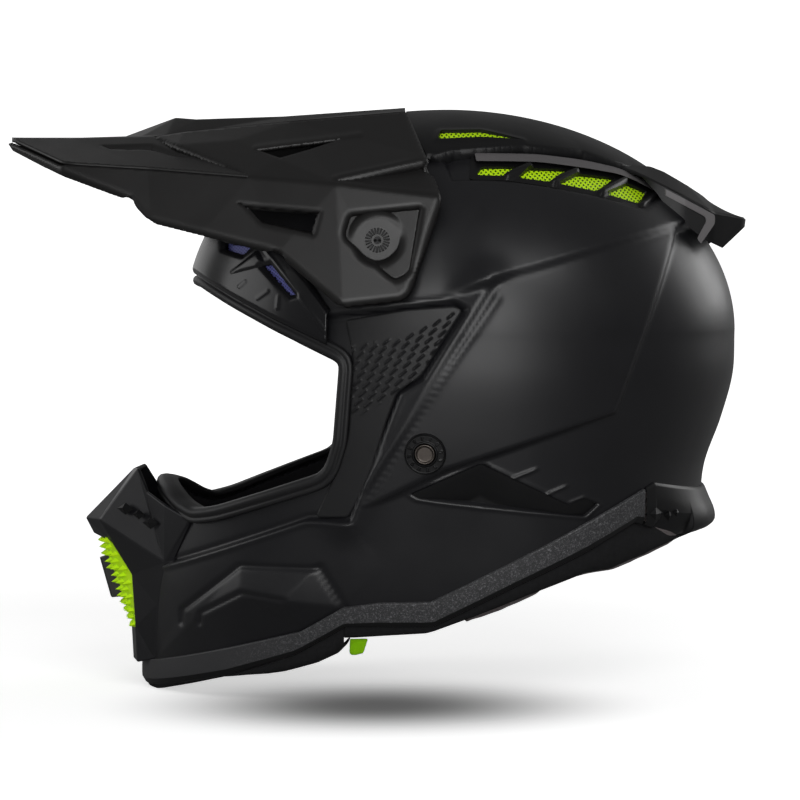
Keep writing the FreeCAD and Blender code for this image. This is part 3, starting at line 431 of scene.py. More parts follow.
def punched(name, color, hole, pitch=1.7):
    """Sheet with a square grid of round holes painted in shade, pitch in millimetres."""
    material, tree, output = new_material(name)
    shader = add(tree, "ShaderNodeBsdfPrincipled", {"Roughness": 0.45})
    turned = textured(tree, place_coordinates(tree), "ShaderNodeMapping",
                      {"Rotation": (ROW_TURN, 0, 0), "Scale": (1000 / pitch,) * 3})
    parts = add(tree, "ShaderNodeSeparateXYZ")
    wire(tree, (turned.outputs[0], parts.inputs[0]))
    squares = []
    for axis in "YZ":
        cell = add(tree, "ShaderNodeMath", operation="FRACT")
        middle = add(tree, "ShaderNodeMath", {1: 0.5}, operation="SUBTRACT")
        square = add(tree, "ShaderNodeMath", {1: 2.0}, operation="POWER")
        wire(tree, (parts.outputs[axis], cell.inputs[0]), (cell.outputs[0], middle.inputs[0]),
             (middle.outputs[0], square.inputs[0]))
        squares.append(square.outputs[0])
    solid = ramp(tree, combined(tree, "ADD", *squares), HOLE_SHARE ** 2 * 0.7,
                 HOLE_SHARE ** 2 * 1.25, 0.0, 1.0)
    # painted shade: the holes take the dark colour of the vent behind the sheet
    end_with_bump(tree, output, shader, mixed(tree, solid, hole, color), solid, 0.6, 0.0004)
    return material


# each second colour is the painted shade in the holes
finish["mesh_green"] = punched("mesh_green", (0.62, 1.0, 0.004), (0.05, 0.12, 0.0))
finish["mesh_violet"] = punched("mesh_violet", (0.15, 0.16, 0.46), (0.03, 0.03, 0.1), pitch=1.2)
print("punched finishes: mesh_green, mesh_violet")

# %% [markdown]
# The rings, rivets and inserts are metal. A perfectly even metal looks like chrome, so fine
# scratches from brushing and handling break its gloss.


# %% Metal
def metal(name, color, roughness):
    """Brushed metal: fine scratches in the roughness."""
    brushed = 0.1
    material, tree, output = new_material(name)
    shader = add(tree, "ShaderNodeBsdfPrincipled", {"Metallic": 1.0, "Base Color": (*color, 1)})
    lines = textured(tree, place_coordinates(tree), "ShaderNodeTexNoise",
                     {"Scale": 600, "Detail": 6, "Roughness": 0.8}).outputs["Fac"]
    bump = add(tree, "ShaderNodeBump", {"Strength": 0.15, "Distance": 0.0002})
    wire(tree, (ramp(tree, lines, 0.3, 0.7, roughness - brushed, roughness + brushed),
                shader.inputs["Roughness"]), (lines, bump.inputs["Height"]),
         (bump.outputs[0], shader.inputs["Normal"]), (shader.outputs[0], output.inputs[0]))
    return material


METALS = {"steel": ((0.5, 0.5, 0.52), 0.32), "rivet_steel": ((0.12, 0.105, 0.094), 0.42),
          "insert_brass": ((0.62, 0.48, 0.25), 0.35)}
for name, (color, roughness) in METALS.items():
    finish[name] = metal(name, color, roughness)
print("metals:", ", ".join(METALS))

# %% [markdown]
# The record names a finish slot for every imported piece. Each piece gets its slot's finish now.

# %% A finish for every imported piece
finish["plastic_ring"] = finish["trim_black"]
slot_of = {part["node"]: part["material_slot"] for part in frame["record"]["subparts"]}
for name, piece in nodes.items():
    piece.data.materials.clear()
    piece.data.materials.append(finish[slot_of[name]])
print("finishes:", len(finish))

# %% [markdown]
# ## The form that everything follows
# A helmet's shell is an egg: each level section is half an ellipse behind the widest point and
# half of a longer one in front of it. Sculpting it by hand would never be the same on both sides,
# so the form is a formula. It takes an offset too, which gives the inside of a wall, or a trim
# that stands proud. All its measures are in millimetres: the heights of the temple and crown, the
# places of the widest point and of the top, and, below the temple, each section's share of the
# widest one.

# %% The form's measures
TEMPLE, CROWN, WIDEST, TOP = 38.0, 147.0, 12.0, -8.0
BACK_REACH, FRONT_REACH, HALF_WIDTH = 132.7, 154.0, 127.0
HEIGHTS = np.array([-165.0, -125.0, -90.0, -60.0, -33.0, -8.0, 15.0, 38.0])
BACK_SHARES = np.array([0.895, 0.889, 0.882, 0.866, 0.878, 0.945, 0.992, 1.0])
FRONT_SHARES = np.array([1.156, 1.156, 1.150, 1.125, 1.097, 1.061, 1.024, 1.0])
HALF_SHARES = np.array([0.709, 0.775, 0.858, 0.905, 0.945, 0.976, 0.996, 1.0])
FRONT_POWER, HALF_POWER = 2.2, 2.25
print("form:", BACK_REACH + FRONT_REACH, "mm long,", 2 * HALF_WIDTH, "mm wide")

# %% [markdown]
# Above the temple the section shrinks along an arch to the crown: a circle's arch at the back,
# slightly squarer ones in front and across, as a helmet's dome has. Below it the shares are joined
# by a smooth curve.


# %% Sections of the form
def smooth_through(knots, values, t):
    """A smooth curve through the values."""
    slopes = np.gradient(values, knots)
    i = np.clip(np.searchsorted(knots, t) - 1, 0, len(knots) - 2)
    width = knots[i + 1] - knots[i]
    u = np.clip((t - knots[i]) / width, 0, 1)
    return ((2 * u**3 - 3 * u**2 + 1) * values[i] + (u**3 - 2 * u**2 + u) * width * slopes[i]
            + (3 * u**2 - 2 * u**3) * values[i + 1] + (u**3 - u**2) * width * slopes[i + 1])


def section(z, offset=0.0):
    """Widest point, back reach, front reach and half width of the level section at each height."""
    z = np.asarray(z, float)
    low = np.clip(z, HEIGHTS[0], TEMPLE)
    up = np.clip((z - TEMPLE) / (CROWN - TEMPLE - offset), 0.0, 0.99995)
    front_arch = (1 - up**FRONT_POWER) ** (1 / FRONT_POWER)
    half_arch = (1 - up**HALF_POWER) ** (1 / HALF_POWER)
    behind = TOP + (WIDEST + BACK_REACH - TOP - offset) * np.sqrt(1 - up**2)
    before = TOP + (WIDEST - FRONT_REACH - TOP + offset) * front_arch
    middle = np.where(z > TEMPLE, TOP + (WIDEST - TOP) * np.sqrt(1 - up**2), WIDEST)
    back = np.where(z > TEMPLE, behind - middle,
                    BACK_REACH * smooth_through(HEIGHTS, BACK_SHARES, low) - offset)
    front = np.where(z > TEMPLE, middle - before,
                     FRONT_REACH * smooth_through(HEIGHTS, FRONT_SHARES, low) - offset)
    half = np.where(z > TEMPLE, (HALF_WIDTH - offset) * half_arch,
                    HALF_WIDTH * smooth_through(HEIGHTS, HALF_SHARES, low) - offset)
    return middle, back, front, half


print("sections at the brow and chin:", [np.round(section(z), 1).tolist() for z in (60.0, -90.0)])

# %% [markdown]
# Three questions come up again and again: where a point of the form lies, how wide the form is at a
# point of the side view, and which way is out. The last answer is the slope of the level that each
# section describes.


# %% Points and directions of the form
def around(turn, z):
    """The point of the form at a turn from the back, in millimetres."""
    turn, z = np.broadcast_arrays(np.asarray(turn, float), np.asarray(z, float))
    middle, back, front, half = section(z)
    reach = np.where(np.cos(turn) > 0, back, front)
    return np.stack([half * np.sin(turn), middle + reach * np.cos(turn), z], -1)


def side_x(y, z, offset=0.0):
    """Half width of the form at a point of the side view; zero outside it."""
    middle, back, front, half = section(z, offset)
    reach = np.where(np.asarray(y) > middle, back, front)
    return half * np.sqrt(np.clip(1 - ((y - middle) / reach) ** 2, 0, None))


def level_turn(y, z):
    """The turn at which the form at this height reaches this y, on the left."""
    middle, back, front, _ = section(z)
    reach = np.where(np.asarray(y) > middle, back, front)
    return np.arccos(np.clip((y - middle) / reach, -1, 1))


def outward(points):
    """The direction that leaves the form at each point."""
    def level(p):
        middle, back, front, half = section(p[..., 2])
        reach = np.where(p[..., 1] > middle, back, front)
        return (p[..., 0] / half) ** 2 + ((p[..., 1] - middle) / reach) ** 2
    slope = np.stack([(level(points + d) - level(points - d)) for d in np.eye(3) * 0.5], -1)
    # at the very top the slope fades to nothing, so there the direction is helped upwards
    slope[..., 2] += np.where(points[..., 2] > CROWN - 1.0, 0.3, 0.0)
    return slope / np.linalg.norm(slope, axis=-1, keepdims=True)


print("form at the brow:", np.round(around(np.pi, 60.0), 1))

# %% [markdown]
# ## From points to pieces
# Meshes are filled straight from arrays of points, because a helmet's curved skins are grids of
# hundreds of thousands of points, and adding them one by one would take minutes.


# %% Meshes from arrays
def grid_quads(rows, columns, closed=False):
    """Quads of a grid of points; closed joins the last column to the first."""
    r, c = np.meshgrid(np.arange(rows - 1), np.arange(columns if closed else columns - 1),
                       indexing="ij")
    after = (c + 1) % columns
    return np.stack([r * columns + c, r * columns + after, (r + 1) * columns + after,
                     (r + 1) * columns + c], -1).reshape(-1, 4)


def new_mesh(name, points, quads, materials, choice=None):
    """A smooth mesh in metres from points in millimetres."""
    mesh = bpy.data.meshes.new(name)
    points = np.asarray(points, float).reshape(-1, 3) * MM
    if isinstance(quads, np.ndarray):
        mesh.vertices.add(len(points))
        mesh.vertices.foreach_set("co", points.ravel())
        mesh.loops.add(quads.size)
        mesh.loops.foreach_set("vertex_index", quads.ravel().astype(np.int32))
        mesh.polygons.add(len(quads))
        width = quads.shape[1]
        mesh.polygons.foreach_set("loop_start", (np.arange(len(quads)) * width).astype(np.int32))
        if choice is not None:
            mesh.polygons.foreach_set("material_index", choice.astype(np.int32))
        mesh.update(calc_edges=True)
    else:
        mesh.from_pydata(points.tolist(), [], quads)
    mesh.validate()
    for material in materials:
        mesh.materials.append(finish[material])
    mesh.shade_smooth()
    return mesh


def new_object(name, mesh):
    """A piece at the origin; its place is in its mesh."""
    return link(bpy.data.objects.new(name, mesh))


print("mesh makers are ready")

# %% [markdown]
# A piece then needs a few finishing steps: applied modifiers, closed seams, crisp edges where
# faces meet steeply, and above all its body, so that it moves with the right part of the helmet.

# %% Finishing a piece
WELD_DISTANCE = 0.02 * MM


def settle(piece):
    """Applies the modifiers of a piece to its mesh."""
    evaluated = piece.evaluated_get(bpy.context.evaluated_depsgraph_get())
    mesh = bpy.data.meshes.new_from_object(evaluated)
    piece.modifiers.clear()
    old, piece.data = piece.data, mesh
    mesh.name = piece.name
    bpy.data.meshes.remove(old)


def place(piece, body, *replaced, slot=None):
    """The piece rides on its body and stands for its CAD nodes, which it hides."""
    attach(piece, body)
    if replaced:
        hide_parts(*replaced)
        slot = slot or slot_of[replaced[0]]
    return piece


def weld_and_face(piece):
    """Merges doubled points and turns every face outwards."""
    shape = bmesh.new()
    shape.from_mesh(piece.data)
    bmesh.ops.remove_doubles(shape, verts=shape.verts, dist=WELD_DISTANCE)
    bmesh.ops.recalc_face_normals(shape, faces=shape.faces)
    shape.to_mesh(piece.data)
    shape.free()
    piece.data.shade_smooth()


def sharpen(piece, angle=35.0):
    """Keeps edges steeper than the angle sharp."""
    piece.data.set_sharp_from_angle(angle=math.radians(angle))


def dressed(piece, material):
    """Gives a piece one finish and smooth shading."""
    piece.data.materials.clear()
    piece.data.materials.append(finish[material])
    piece.data.shade_smooth()
    return piece


def walled(piece, thickness, offset=None):
    """Gives a skin a wall, in millimetres."""
    wall = piece.modifiers.new("wall", "SOLIDIFY")
    wall.thickness = thickness * MM
    if offset is not None:
        wall.offset = offset
    return piece


print("finishing steps are ready")

# %% [markdown]
# ## Drawing in the side view
# Most trims are drawn in the side view, as the shape a mould maker would draw. Two measures place
# relief on the shell: how far a point lies inside an outline, and how far it lies from a line.


# %% Measures in the side view
def line_distance(y, z, line, closed=False):
    """Distance to a run of straight lines."""
    best = np.full(np.shape(y), 1e9)
    ends = list(zip(line, line[1:])) + ([(line[-1], line[0])] if closed else [])
    for (y0, z0), (y1, z1) in ends:
        dy, dz = y1 - y0, z1 - z0
        share = np.clip(((y - y0) * dy + (z - z0) * dz) / (dy * dy + dz * dz), 0, 1)
        best = np.minimum(best, np.hypot(y - y0 - share * dy, z - z0 - share * dz))
    return best


def inside(y, z, outline):
    """Distance to an outline, positive inside it."""
    crossings = np.zeros(np.shape(y), bool)
    for (y0, z0), (y1, z1) in zip(outline, outline[1:] + outline[:1]):
        if z0 == z1:
            continue
        between = (z0 > z) != (z1 > z)
        crossings ^= between & (y < (y1 - y0) * (z - z0) / (z1 - z0) + y0)
    distance = line_distance(y, z, outline, closed=True)
    return np.where(crossings, distance, -distance)


def step(distance, width):
    """Rises smoothly from 0 to 1 over the width, half way at distance 0."""
    t = np.clip(distance / width + 0.5, 0, 1)
    return t * t * (3 - 2 * t)


def ridge(distance, width):
    """A rounded ridge of height 1 at distance 0."""
    return np.exp(-((distance / width) ** 2))


print("measures are ready")

# %% [markdown]
# Folded parts are built as a paper model is: named corners with a height each, joined by
# triangles. The height at any point comes from the triangle it lies in, so folds stay straight.
# Beyond the drawn corners the nearest triangle runs on, or the sheet ends.


# %% Folded sheets
def facets(y, z, corners, triangles, spread=True):
    """Height of a folded sheet: corners hold y, z and height; beyond its rim it runs on or is 0."""
    height = np.zeros(np.shape(y))
    nearest = np.full(np.shape(y), -1e9)
    for names in triangles:
        (ya, za, ha), (yb, zb, hb), (yc, zc, hc) = [corners[name] for name in names.split()]
        area = (yb - ya) * (zc - za) - (yc - ya) * (zb - za)
        b = ((y - ya) * (zc - za) - (yc - ya) * (z - za)) / area
        c = ((yb - ya) * (z - za) - (y - ya) * (zb - za)) / area
        least = np.minimum(np.minimum(b, c), 1 - b - c) * math.sqrt(abs(area))
        better = least > nearest
        nearest = np.where(better, least, nearest)
        height = np.where(better, ha + b * (hb - ha) + c * (hc - ha), height)
    return height if spread else np.where(nearest >= -1e-9, height, 0.0)


print("folded sheets are ready")

# %% [markdown]
# A trim is made as a sheet: a fine grid over its drawn outline, kept where the outline is, with
# the grid's rim pulled exactly onto the line. A function then lifts every point to its place in
# space. A skirt closes the rim down to what the trim lies on, so no trim floats as a film.


# %% Sheets over an outline
def rim_edges(quads):
    """Edges that only one quad uses, in that quad's direction."""
    edges = np.concatenate([quads[:, [0, 1]], quads[:, [1, 2]], quads[:, [2, 3]], quads[:, [3, 0]]])
    keys = np.sort(edges, axis=1)
    _, first, counts = np.unique(keys, axis=0, return_index=True, return_counts=True)
    return edges[first[counts == 1]]


def flat_sheet(distance, corners, pitch):
    """Grid points and quads where the distance is positive, the rim pulled onto the line."""
    (u0, v0), (u1, v1) = corners
    u, v = np.meshgrid(np.arange(u0, u1 + pitch, pitch), np.arange(v0, v1 + pitch, pitch),
                       indexing="ij")
    quads = grid_quads(*u.shape)
    flat = np.stack([u.ravel(), v.ravel()], -1)
    middles = flat[quads].mean(1)
    quads = quads[distance(middles[:, 0], middles[:, 1]) > 0]
    used, inverse = np.unique(quads, return_inverse=True)
    flat, quads = flat[used], inverse.reshape(-1, 4)
    rim = np.unique(rim_edges(quads))
    near = 0.05
    for _ in range(4):
        p = flat[rim]
        u, v = p.T
        off = distance(u, v)
        slope = np.stack([(distance(u + near, v) - distance(u - near, v)) / (2 * near),
                          (distance(u, v + near) - distance(u, v - near)) / (2 * near)], -1)
        length = np.maximum(np.linalg.norm(slope, axis=1, keepdims=True), 0.3)
        flat[rim] = p - np.clip(off, -pitch, pitch)[:, None] * slope / length**2
    return flat, quads


def lifted(distance, corners, surface, pitch=0.9, skirt=None):
    """A sheet in space; surface gives a point for each u, v, and skirt gives its rim's foot."""
    flat, quads = flat_sheet(distance, corners, pitch)
    points = surface(flat[:, 0], flat[:, 1])
    if skirt is not None:
        edges = rim_edges(quads)
        rim, where = np.unique(edges, return_inverse=True)
        a, b = edges.T
        foot = where.reshape(-1, 2) + len(points)
        quads = np.concatenate([quads, np.stack([b, a, foot[:, 0], foot[:, 1]], -1)])
        points = np.concatenate([points, skirt(flat[rim, 0], flat[rim, 1])])
    return points, quads


def both_sides(points, quads):
    """The sheet and its mirror image."""
    return (np.concatenate([points, points * (-1, 1, 1)]),
            np.concatenate([quads, quads[:, ::-1] + len(points)]))


def joined(*parts):
    """Several sheets as one set of points and quads."""
    points, quads, start = [], [], 0
    for p, q in parts:
        points.append(p)
        quads.append(q + start)
        start += len(p)
    return np.concatenate(points), np.concatenate(quads)


print("sheet makers are ready")

# %% [markdown]
# An outline is a list of corners, as a draughtsman would note them. Real mouldings have no sharp
# corners, so each is rounded by a short curve. A distance to several outlines at once is what cuts
# a window out of a sheet.


# %% Outlines
def outlines(*shapes, holes=()):
    """A distance that is positive inside any of the shapes and outside all of the holes."""
    def distance(y, z):
        best = np.full(np.shape(y), -1e9)
        for shape in shapes:
            best = np.maximum(best, inside(y, z, shape))
        for hole in holes:
            best = np.minimum(best, -inside(y, z, hole))
        return best
    return distance


def rounded(corners):
    """An outline with its corners rounded; a corner may carry a radius, 2 otherwise."""
    run = []
    count = len(corners)
    for i, corner in enumerate(corners):
        here = np.array(corner[:2], float)
        radius = corner[2] if len(corner) > 2 else 2.0
        before = np.array(corners[i - 1][:2], float) - here
        after = np.array(corners[(i + 1) % count][:2], float) - here
        near = min(radius, 0.45 * np.linalg.norm(before), 0.45 * np.linalg.norm(after))
        start = here + before / np.linalg.norm(before) * near
        end = here + after / np.linalg.norm(after) * near
        for t in np.linspace(0, 1, 5 if near > 0 else 1):
            run.append(tuple((1 - t) ** 2 * start + 2 * t * (1 - t) * here + t * t * end))
    return run


def corner_box(outline):
    """Lowest and highest corner of an outline, with a millimetre to spare."""
    points = np.array([p[:2] for p in outline])
    return tuple(points.min(0) - 1.0), tuple(points.max(0) + 1.0)


print("outlines are ready")

# %% [markdown]
# A trim on the shell is an outline, a height above the form at each point, and a skirt that
# reaches into the shell. One side is drawn and the other is its mirror image, as the moulds are.


# %% Trims on the shell
def on_form(height):
    """A surface that stands a height above the shell, on the left."""
    def surface(y, z):
        points = np.stack([side_x(y, z), y, z], -1)
        return points + outward(points) * np.broadcast_to(height(y, z), np.shape(y))[..., None]
    return surface


def side_trim(outline, height, depth=1.5, pitch=0.9, holes=()):
    """A trim on the left of the shell: outline, height above the form and depth of its skirt."""
    distance = outlines(outline, holes=holes)
    return lifted(distance, corner_box(outline), on_form(height), pitch,
                  on_form(lambda y, z: -depth + 0 * y))


def right_of(sheet):
    """The mirror image of a sheet, on the right."""
    points, quads = sheet
    return points * (-1, 1, 1), quads[:, ::-1]


def piece_from(name, sheet, material, body="helmet", replaced=()):
    """A piece with crisp edges from a sheet's points and quads."""
    points, quads = sheet
    piece = new_object(name, new_mesh(name, points, quads, [material]))
    sharpen(piece)
    return place(piece, body, *replaced)


def pair_from(name, sheet, material, *nodes_left, body="helmet"):
    """The left piece and its mirror image; the node names end in left."""
    for side, part in (("left", sheet), ("right", right_of(sheet))):
        names = [n.replace("left", side) for n in nodes_left]
        piece_from("%s_%s" % (name, side), part, material, body=body, replaced=names)


print("trim makers are ready")

# %% [markdown]
# ## The shell
# The moulded shell is one skin with low relief: a big side panel whose edges step down, a double
# ridge behind the eye port, folded facets on the chin and a raised surround along the port. The
# relief is a height above the form. A dense grid carries it, and smooth shading softens the folds
# as a mould does. Sculpting would give the same relief, but not the same twice, nor the same on
# both sides.

# %% Openings and edges of the shell
HEM_TOP = [(-175.0, -137.0), (-162.0, -134.0), (-81.0, -111.0), (-60.0, -98.0), (-42.0, -95.0),
           (-17.0, -94.2), (38.4, -66.4), (68.0, -51.0), (95.0, -37.0), (123.0, -43.0),
           (140.0, -43.0)]
EYE_PORT = [(-210.0, 68.0), (-136.0, 66.0), (-116.0, 55.0), (-93.7, 43.6), (-57.0, 26.5),
            (-60.4, -16.0), (-66.0, -35.0), (-126.0, -55.5), (-138.0, -57.5), (-147.0, -53.5),
            (-163.0, -40.5), (-172.0, -33.5), (-210.0, -20.0)]
CROWN_WINDOWS = [
    [(8.9, 120.3), (28.0, 120.4), (20.9, 115.6), (5.8, 116.0)],
    [(32.8, 119.7), (52.0, 119.4), (43.8, 112.6), (26.6, 114.8)],
    [(57.5, 117.2), (77.5, 115.6), (66.2, 108.3), (46.8, 111.9)],
    [(84.3, 113.0), (94.8, 108.9), (88.3, 102.4), (70.8, 107.1)],
]
CROWN_FRAME = [(-10.0, 125.5), (-6.0, 113.5), (21.0, 113.0), (41.0, 110.0), (63.5, 105.5),
               (89.0, 98.5), (106.0, 107.5), (88.4, 119.3), (60.5, 127.3), (29.3, 129.7)]
BROW_WINDOWS = [
    [(-119.4, 82.3), (-104.2, 80.0), (-109.3, 75.6), (-119.4, 78.5)],
    [(-98.8, 70.5), (-94.4, 71.5), (-81.6, 56.5), (-84.6, 55.5)],
]
print("openings: one port,", len(CROWN_WINDOWS + BROW_WINDOWS), "windows a side")

# %% [markdown]
# The relief is drawn as outlines too: the side panel, its ridges, the surround of the port, the
# long vent with its two ribs, and the chin's facets with the grooves between them.

# %% Relief lines of the shell
SIDE_PANEL = [(11.6, 62.2), (107.0, 88.9), (73.3, -0.8), (-9.4, -28.5), (-57.9, -53.1),
              (-31.8, -10.0)]
ABOVE_PANEL = [(-30.0, 50.0), (11.6, 62.2), (107.0, 88.9), (150.0, 101.0), (150.0, 170.0),
               (-30.0, 170.0)]
RIDGE_FRONT = [(11.6, 62.2), (-31.8, -10.0), (-57.9, -53.1)]
RIDGE_REAR = [(15.3, 54.7), (-25.5, -4.1), (-48.5, -37.0)]
SURROUND = [(-66.0, 46.5), (-5.1, 53.5), (0.6, 50.0), (-9.6, 33.5), (-20.5, 16.0), (-31.8, 8.8),
            (-36.8, -4.2), (-56.0, -54.6), (-77.8, -54.6), (-154.2, -83.0), (-210.0, -103.0),
            (-210.0, 60.0)]
SIDE_VENT = [(-26.2, -40.6), (7.5, -25.4), (50.5, -46.2), (58.7, -43.2), (66.2, -46.4),
             (59.4, -52.4), (-22.9, -42.8)]
VENT_RIBS = [[(22.8, -32.8), (34.4, -28.3)], [(38.9, -41.2), (49.4, -36.9)]]
CHIN_CORNERS = {
    "g1": (-57.6, -54.6, 0.2), "g2": (-77.8, -54.6, 0.2), "g3": (-154.2, -83.0, 0.0),
    "a": (-112.0, -78.0, 0.4), "b": (-72.0, -77.4, 0.6), "c": (-59.5, -98.0, 0.2),
    "d": (-81.0, -110.5, 0.2), "e": (-88.7, -94.3, 4.6), "f": (-109.7, -92.3, 3.4),
    "a2": (-143.0, -104.9, 0.5), "f2": (-132.5, -105.2, 1.4), "l2": (-120.0, -122.0, 0.0),
    "l3": (-160.0, -134.0, 0.0), "k": (-40.0, -78.0, 0.0)}
CHIN_TRIANGLES = ["g1 g2 b", "g2 a b", "g2 g3 a", "g3 a2 a", "a b e", "a e f", "b c e", "c d e",
                  "g1 b k", "b c k", "e d f", "f d l2", "f l2 f2", "f2 l2 l3", "f2 l3 a2",
                  "a2 l3 g3", "a a2 f2", "a f2 f"]
CHIN_GROOVES = [[(-73.0, -79.0), (-112.0, -79.4), (-143.0, -104.9), (-143.4, -111.6)],
                [(-88.7, -94.3), (-109.7, -92.3), (-132.5, -105.2), (-133.3, -110.5)],
                [(-72.0, -77.4), (-59.5, -98.0)]]
print("chin:", len(CHIN_TRIANGLES), "facets,", len(CHIN_GROOVES), "grooves")

# %% [markdown]
# Each line becomes a rise, a step or a groove. A step is a smooth rise across an outline, a ridge
# is a bell along a line. The numbers in front are heights in millimetres, and those behind are
# widths.


# %% The shell's relief
def relief(y, z):
    """Height of the shell's surface above the plain form, in millimetres."""
    above = inside(y, z, ABOVE_PANEL)
    height = 4.8 * step(above, 4.5) * step(y, 26.0) * np.exp(-np.clip(above, 0, None) / 30)
    panel = inside(y, z, SIDE_PANEL)
    plateau = step(panel, 4.5) * np.clip(line_distance(y, z, RIDGE_FRONT) / 5.0, 0, 1)
    near_ridge = np.exp(-(line_distance(y, z, RIDGE_FRONT) / 9.0) ** 2)
    height += 3.2 * np.maximum(plateau * (1 - step(above, 4.5)), near_ridge)
    height += 0.8 * ridge(line_distance(y, z, RIDGE_FRONT), 1.7)
    height += 0.8 * ridge(line_distance(y, z, RIDGE_REAR), 1.7)
    surround = inside(y, z, SURROUND)
    height = height * (1 - 0.8 * step(surround, 8.0))
    height += 0.7 * ridge(surround + 1.4, 1.3) - 2.2 * step(surround, 1.8)
    height -= 0.6 * ridge(surround - 1.6, 1.2)
    vent = inside(y, z, SIDE_VENT)
    height += 0.7 * ridge(vent + 0.7, 0.8) - 4.6 * step(vent - 0.6, 1.0)
    for rib in VENT_RIBS:
        height += 1.1 * ridge(line_distance(y, z, rib), 0.8)
    chin = facets(y, z, CHIN_CORNERS, CHIN_TRIANGLES, spread=False)
    height += 1.25 * chin * (1 - step(surround, 1.0))
    for groove in CHIN_GROOVES:
        height -= 1.2 * ridge(line_distance(y, z, groove), 1.15)
    height -= 2.2 * step(inside(y, z, CROWN_FRAME), 2.0)
    return height


print("relief at the panel:", round(float(relief(np.array(40.0), np.array(20.0))), 1), "mm")

# %% [markdown]
# The skin is one closed grid: rings from the hem up to the crown. Faces that lie in the port, a
# window or the mouth vent are left out, and the wall is added inwards. Cutting the openings with
# booleans would leave long thin faces that catch the light.

# %% The shell's skin
SHELL_COLUMNS, SHELL_LOW_ROWS, SHELL_HIGH_ROWS = 600, 170, 110
SHELL_WALL, BEHIND_BAND, RELIEF_FADE = 2.6, 3.0, 25.0
MOUTH_HALF, MOUTH_END, MOUTH_MIDDLE, MOUTH_RISE = 21, -130, -94, 18


def shell_grid(columns, low_rows, high_rows):
    """Points of the outside, from the hem to the crown."""
    turn = np.linspace(0, 2 * np.pi, columns, endpoint=False)
    edge = np.full(columns, -90.0)
    for _ in range(12):
        edge = np.interp(around(turn, edge)[..., 1], *zip(*HEM_TOP)) - BEHIND_BAND
    up = np.linspace(0, 1, low_rows)[:, None]
    low = edge[None, :] * (1 - up) + TEMPLE * up
    rise = np.sin(np.linspace(0, 0.4985 * np.pi, high_rows + 1)[1:])[:, None]
    high = np.broadcast_to(TEMPLE + (CROWN - TEMPLE) * rise, (high_rows, columns))
    heights = np.concatenate([low, high])
    return around(np.broadcast_to(turn, heights.shape), heights)


def build_shell():
    """The shell with its relief, openings and wall."""
    points = shell_grid(SHELL_COLUMNS, SHELL_LOW_ROWS, SHELL_HIGH_ROWS)
    y, z = points[..., 1], points[..., 2]
    sideways = np.clip(np.abs(points[..., 0]) / RELIEF_FADE, 0, 1)
    raised = points + outward(points) * (relief(y, z) * sideways)[..., None]
    quads = grid_quads(SHELL_LOW_ROWS + SHELL_HIGH_ROWS, SHELL_COLUMNS, closed=True)
    middles = points.reshape(-1, 3)[quads].mean(1)
    x, y, z = middles.T
    cut = inside(y, z, EYE_PORT) > 0.4
    for window in CROWN_WINDOWS + BROW_WINDOWS:
        cut |= inside(y, z, window) > -0.5
    cut |= (np.abs(x) < MOUTH_HALF) & (y < MOUTH_END) & (np.abs(z - MOUTH_MIDDLE) < MOUTH_RISE)
    shell = new_object("shell_skin", new_mesh("shell_skin", raised, quads[~cut], ["shell_black"]))
    return place(walled(shell, -SHELL_WALL), "helmet", "shell")


shell_skin = build_shell()
print("shell:", len(shell_skin.data.polygons), "faces")

# %% [markdown]
# ## The peak
# The peak is injection moulded in a few flat panels with crisp folds between them. It is made from
# named corners: the sides are drawn in the side view and the top in the plan, and each point's
# third coordinate comes from the triangle it lies in. Folding a flat sheet this way keeps the
# creases straight, which sculpting would not. The side comes first: y, z and the x of each corner.

# %% The peak's side panels
SIDE_CORNERS = {
    "k1": (-200.0, 120.8, 82.0), "k2": (-157.0, 118.0, 88.5), "k3": (-105.0, 113.4, 102.0),
    "k4": (-62.8, 109.5, 113.5), "k5": (-12.4, 102.9, 118.7), "e1": (-200.0, 117.5, 82.5),
    "e2": (-164.7, 104.5, 92.5), "e3": (-154.5, 93.7, 98.0), "e4": (-128.5, 87.2, 106.5),
    "e5": (-90.2, 77.5, 117.2), "e6": (-59.5, 52.0, 129.5), "e7": (-31.0, 55.3, 129.5),
    "e8": (-27.5, 58.5, 129.5), "s2": (-158.3, 135.2, 46.0), "s3": (-141.3, 137.6, 50.0),
    "s4": (-87.1, 142.6, 56.0), "s5": (-29.0, 147.2, 62.0), "r": (-20.0, 124.1, 97.7),
    "f1": (-144.4, 130.0, 66.5), "f2": (-114.0, 132.5, 69.5), "f3": (-92.8, 122.6, 90.5),
    "t0": (-231.5, 134.8, 44.0), "e0": (-229.0, 131.6, 46.0)}
SIDE_TRIANGLES = ["t0 e0 e1", "t0 e1 k1", "k1 e1 e2", "k1 e2 k2", "k2 e2 e3", "k2 e3 e4",
                  "k2 e4 k3", "k3 e4 e5", "k3 e5 k4", "k4 e5 e6", "k4 e6 e7", "k4 e7 e8",
                  "k4 e8 k5", "s2 f1 s3", "s3 f1 f2", "s3 f2 s4", "f2 f3 s4", "s2 k3 f1",
                  "f1 k3 f3", "f1 f3 f2", "f3 k3 k4", "f3 k4 s4", "s4 k4 r", "s4 r s5", "k4 k5 r"]
print("peak, each side:", len(SIDE_TRIANGLES), "panels")

# %% [markdown]
# The top is seen best from above: x, y and the z of each corner. It has a raised duct in the
# middle and runs down to the brim, where both sides meet in a blunt point.

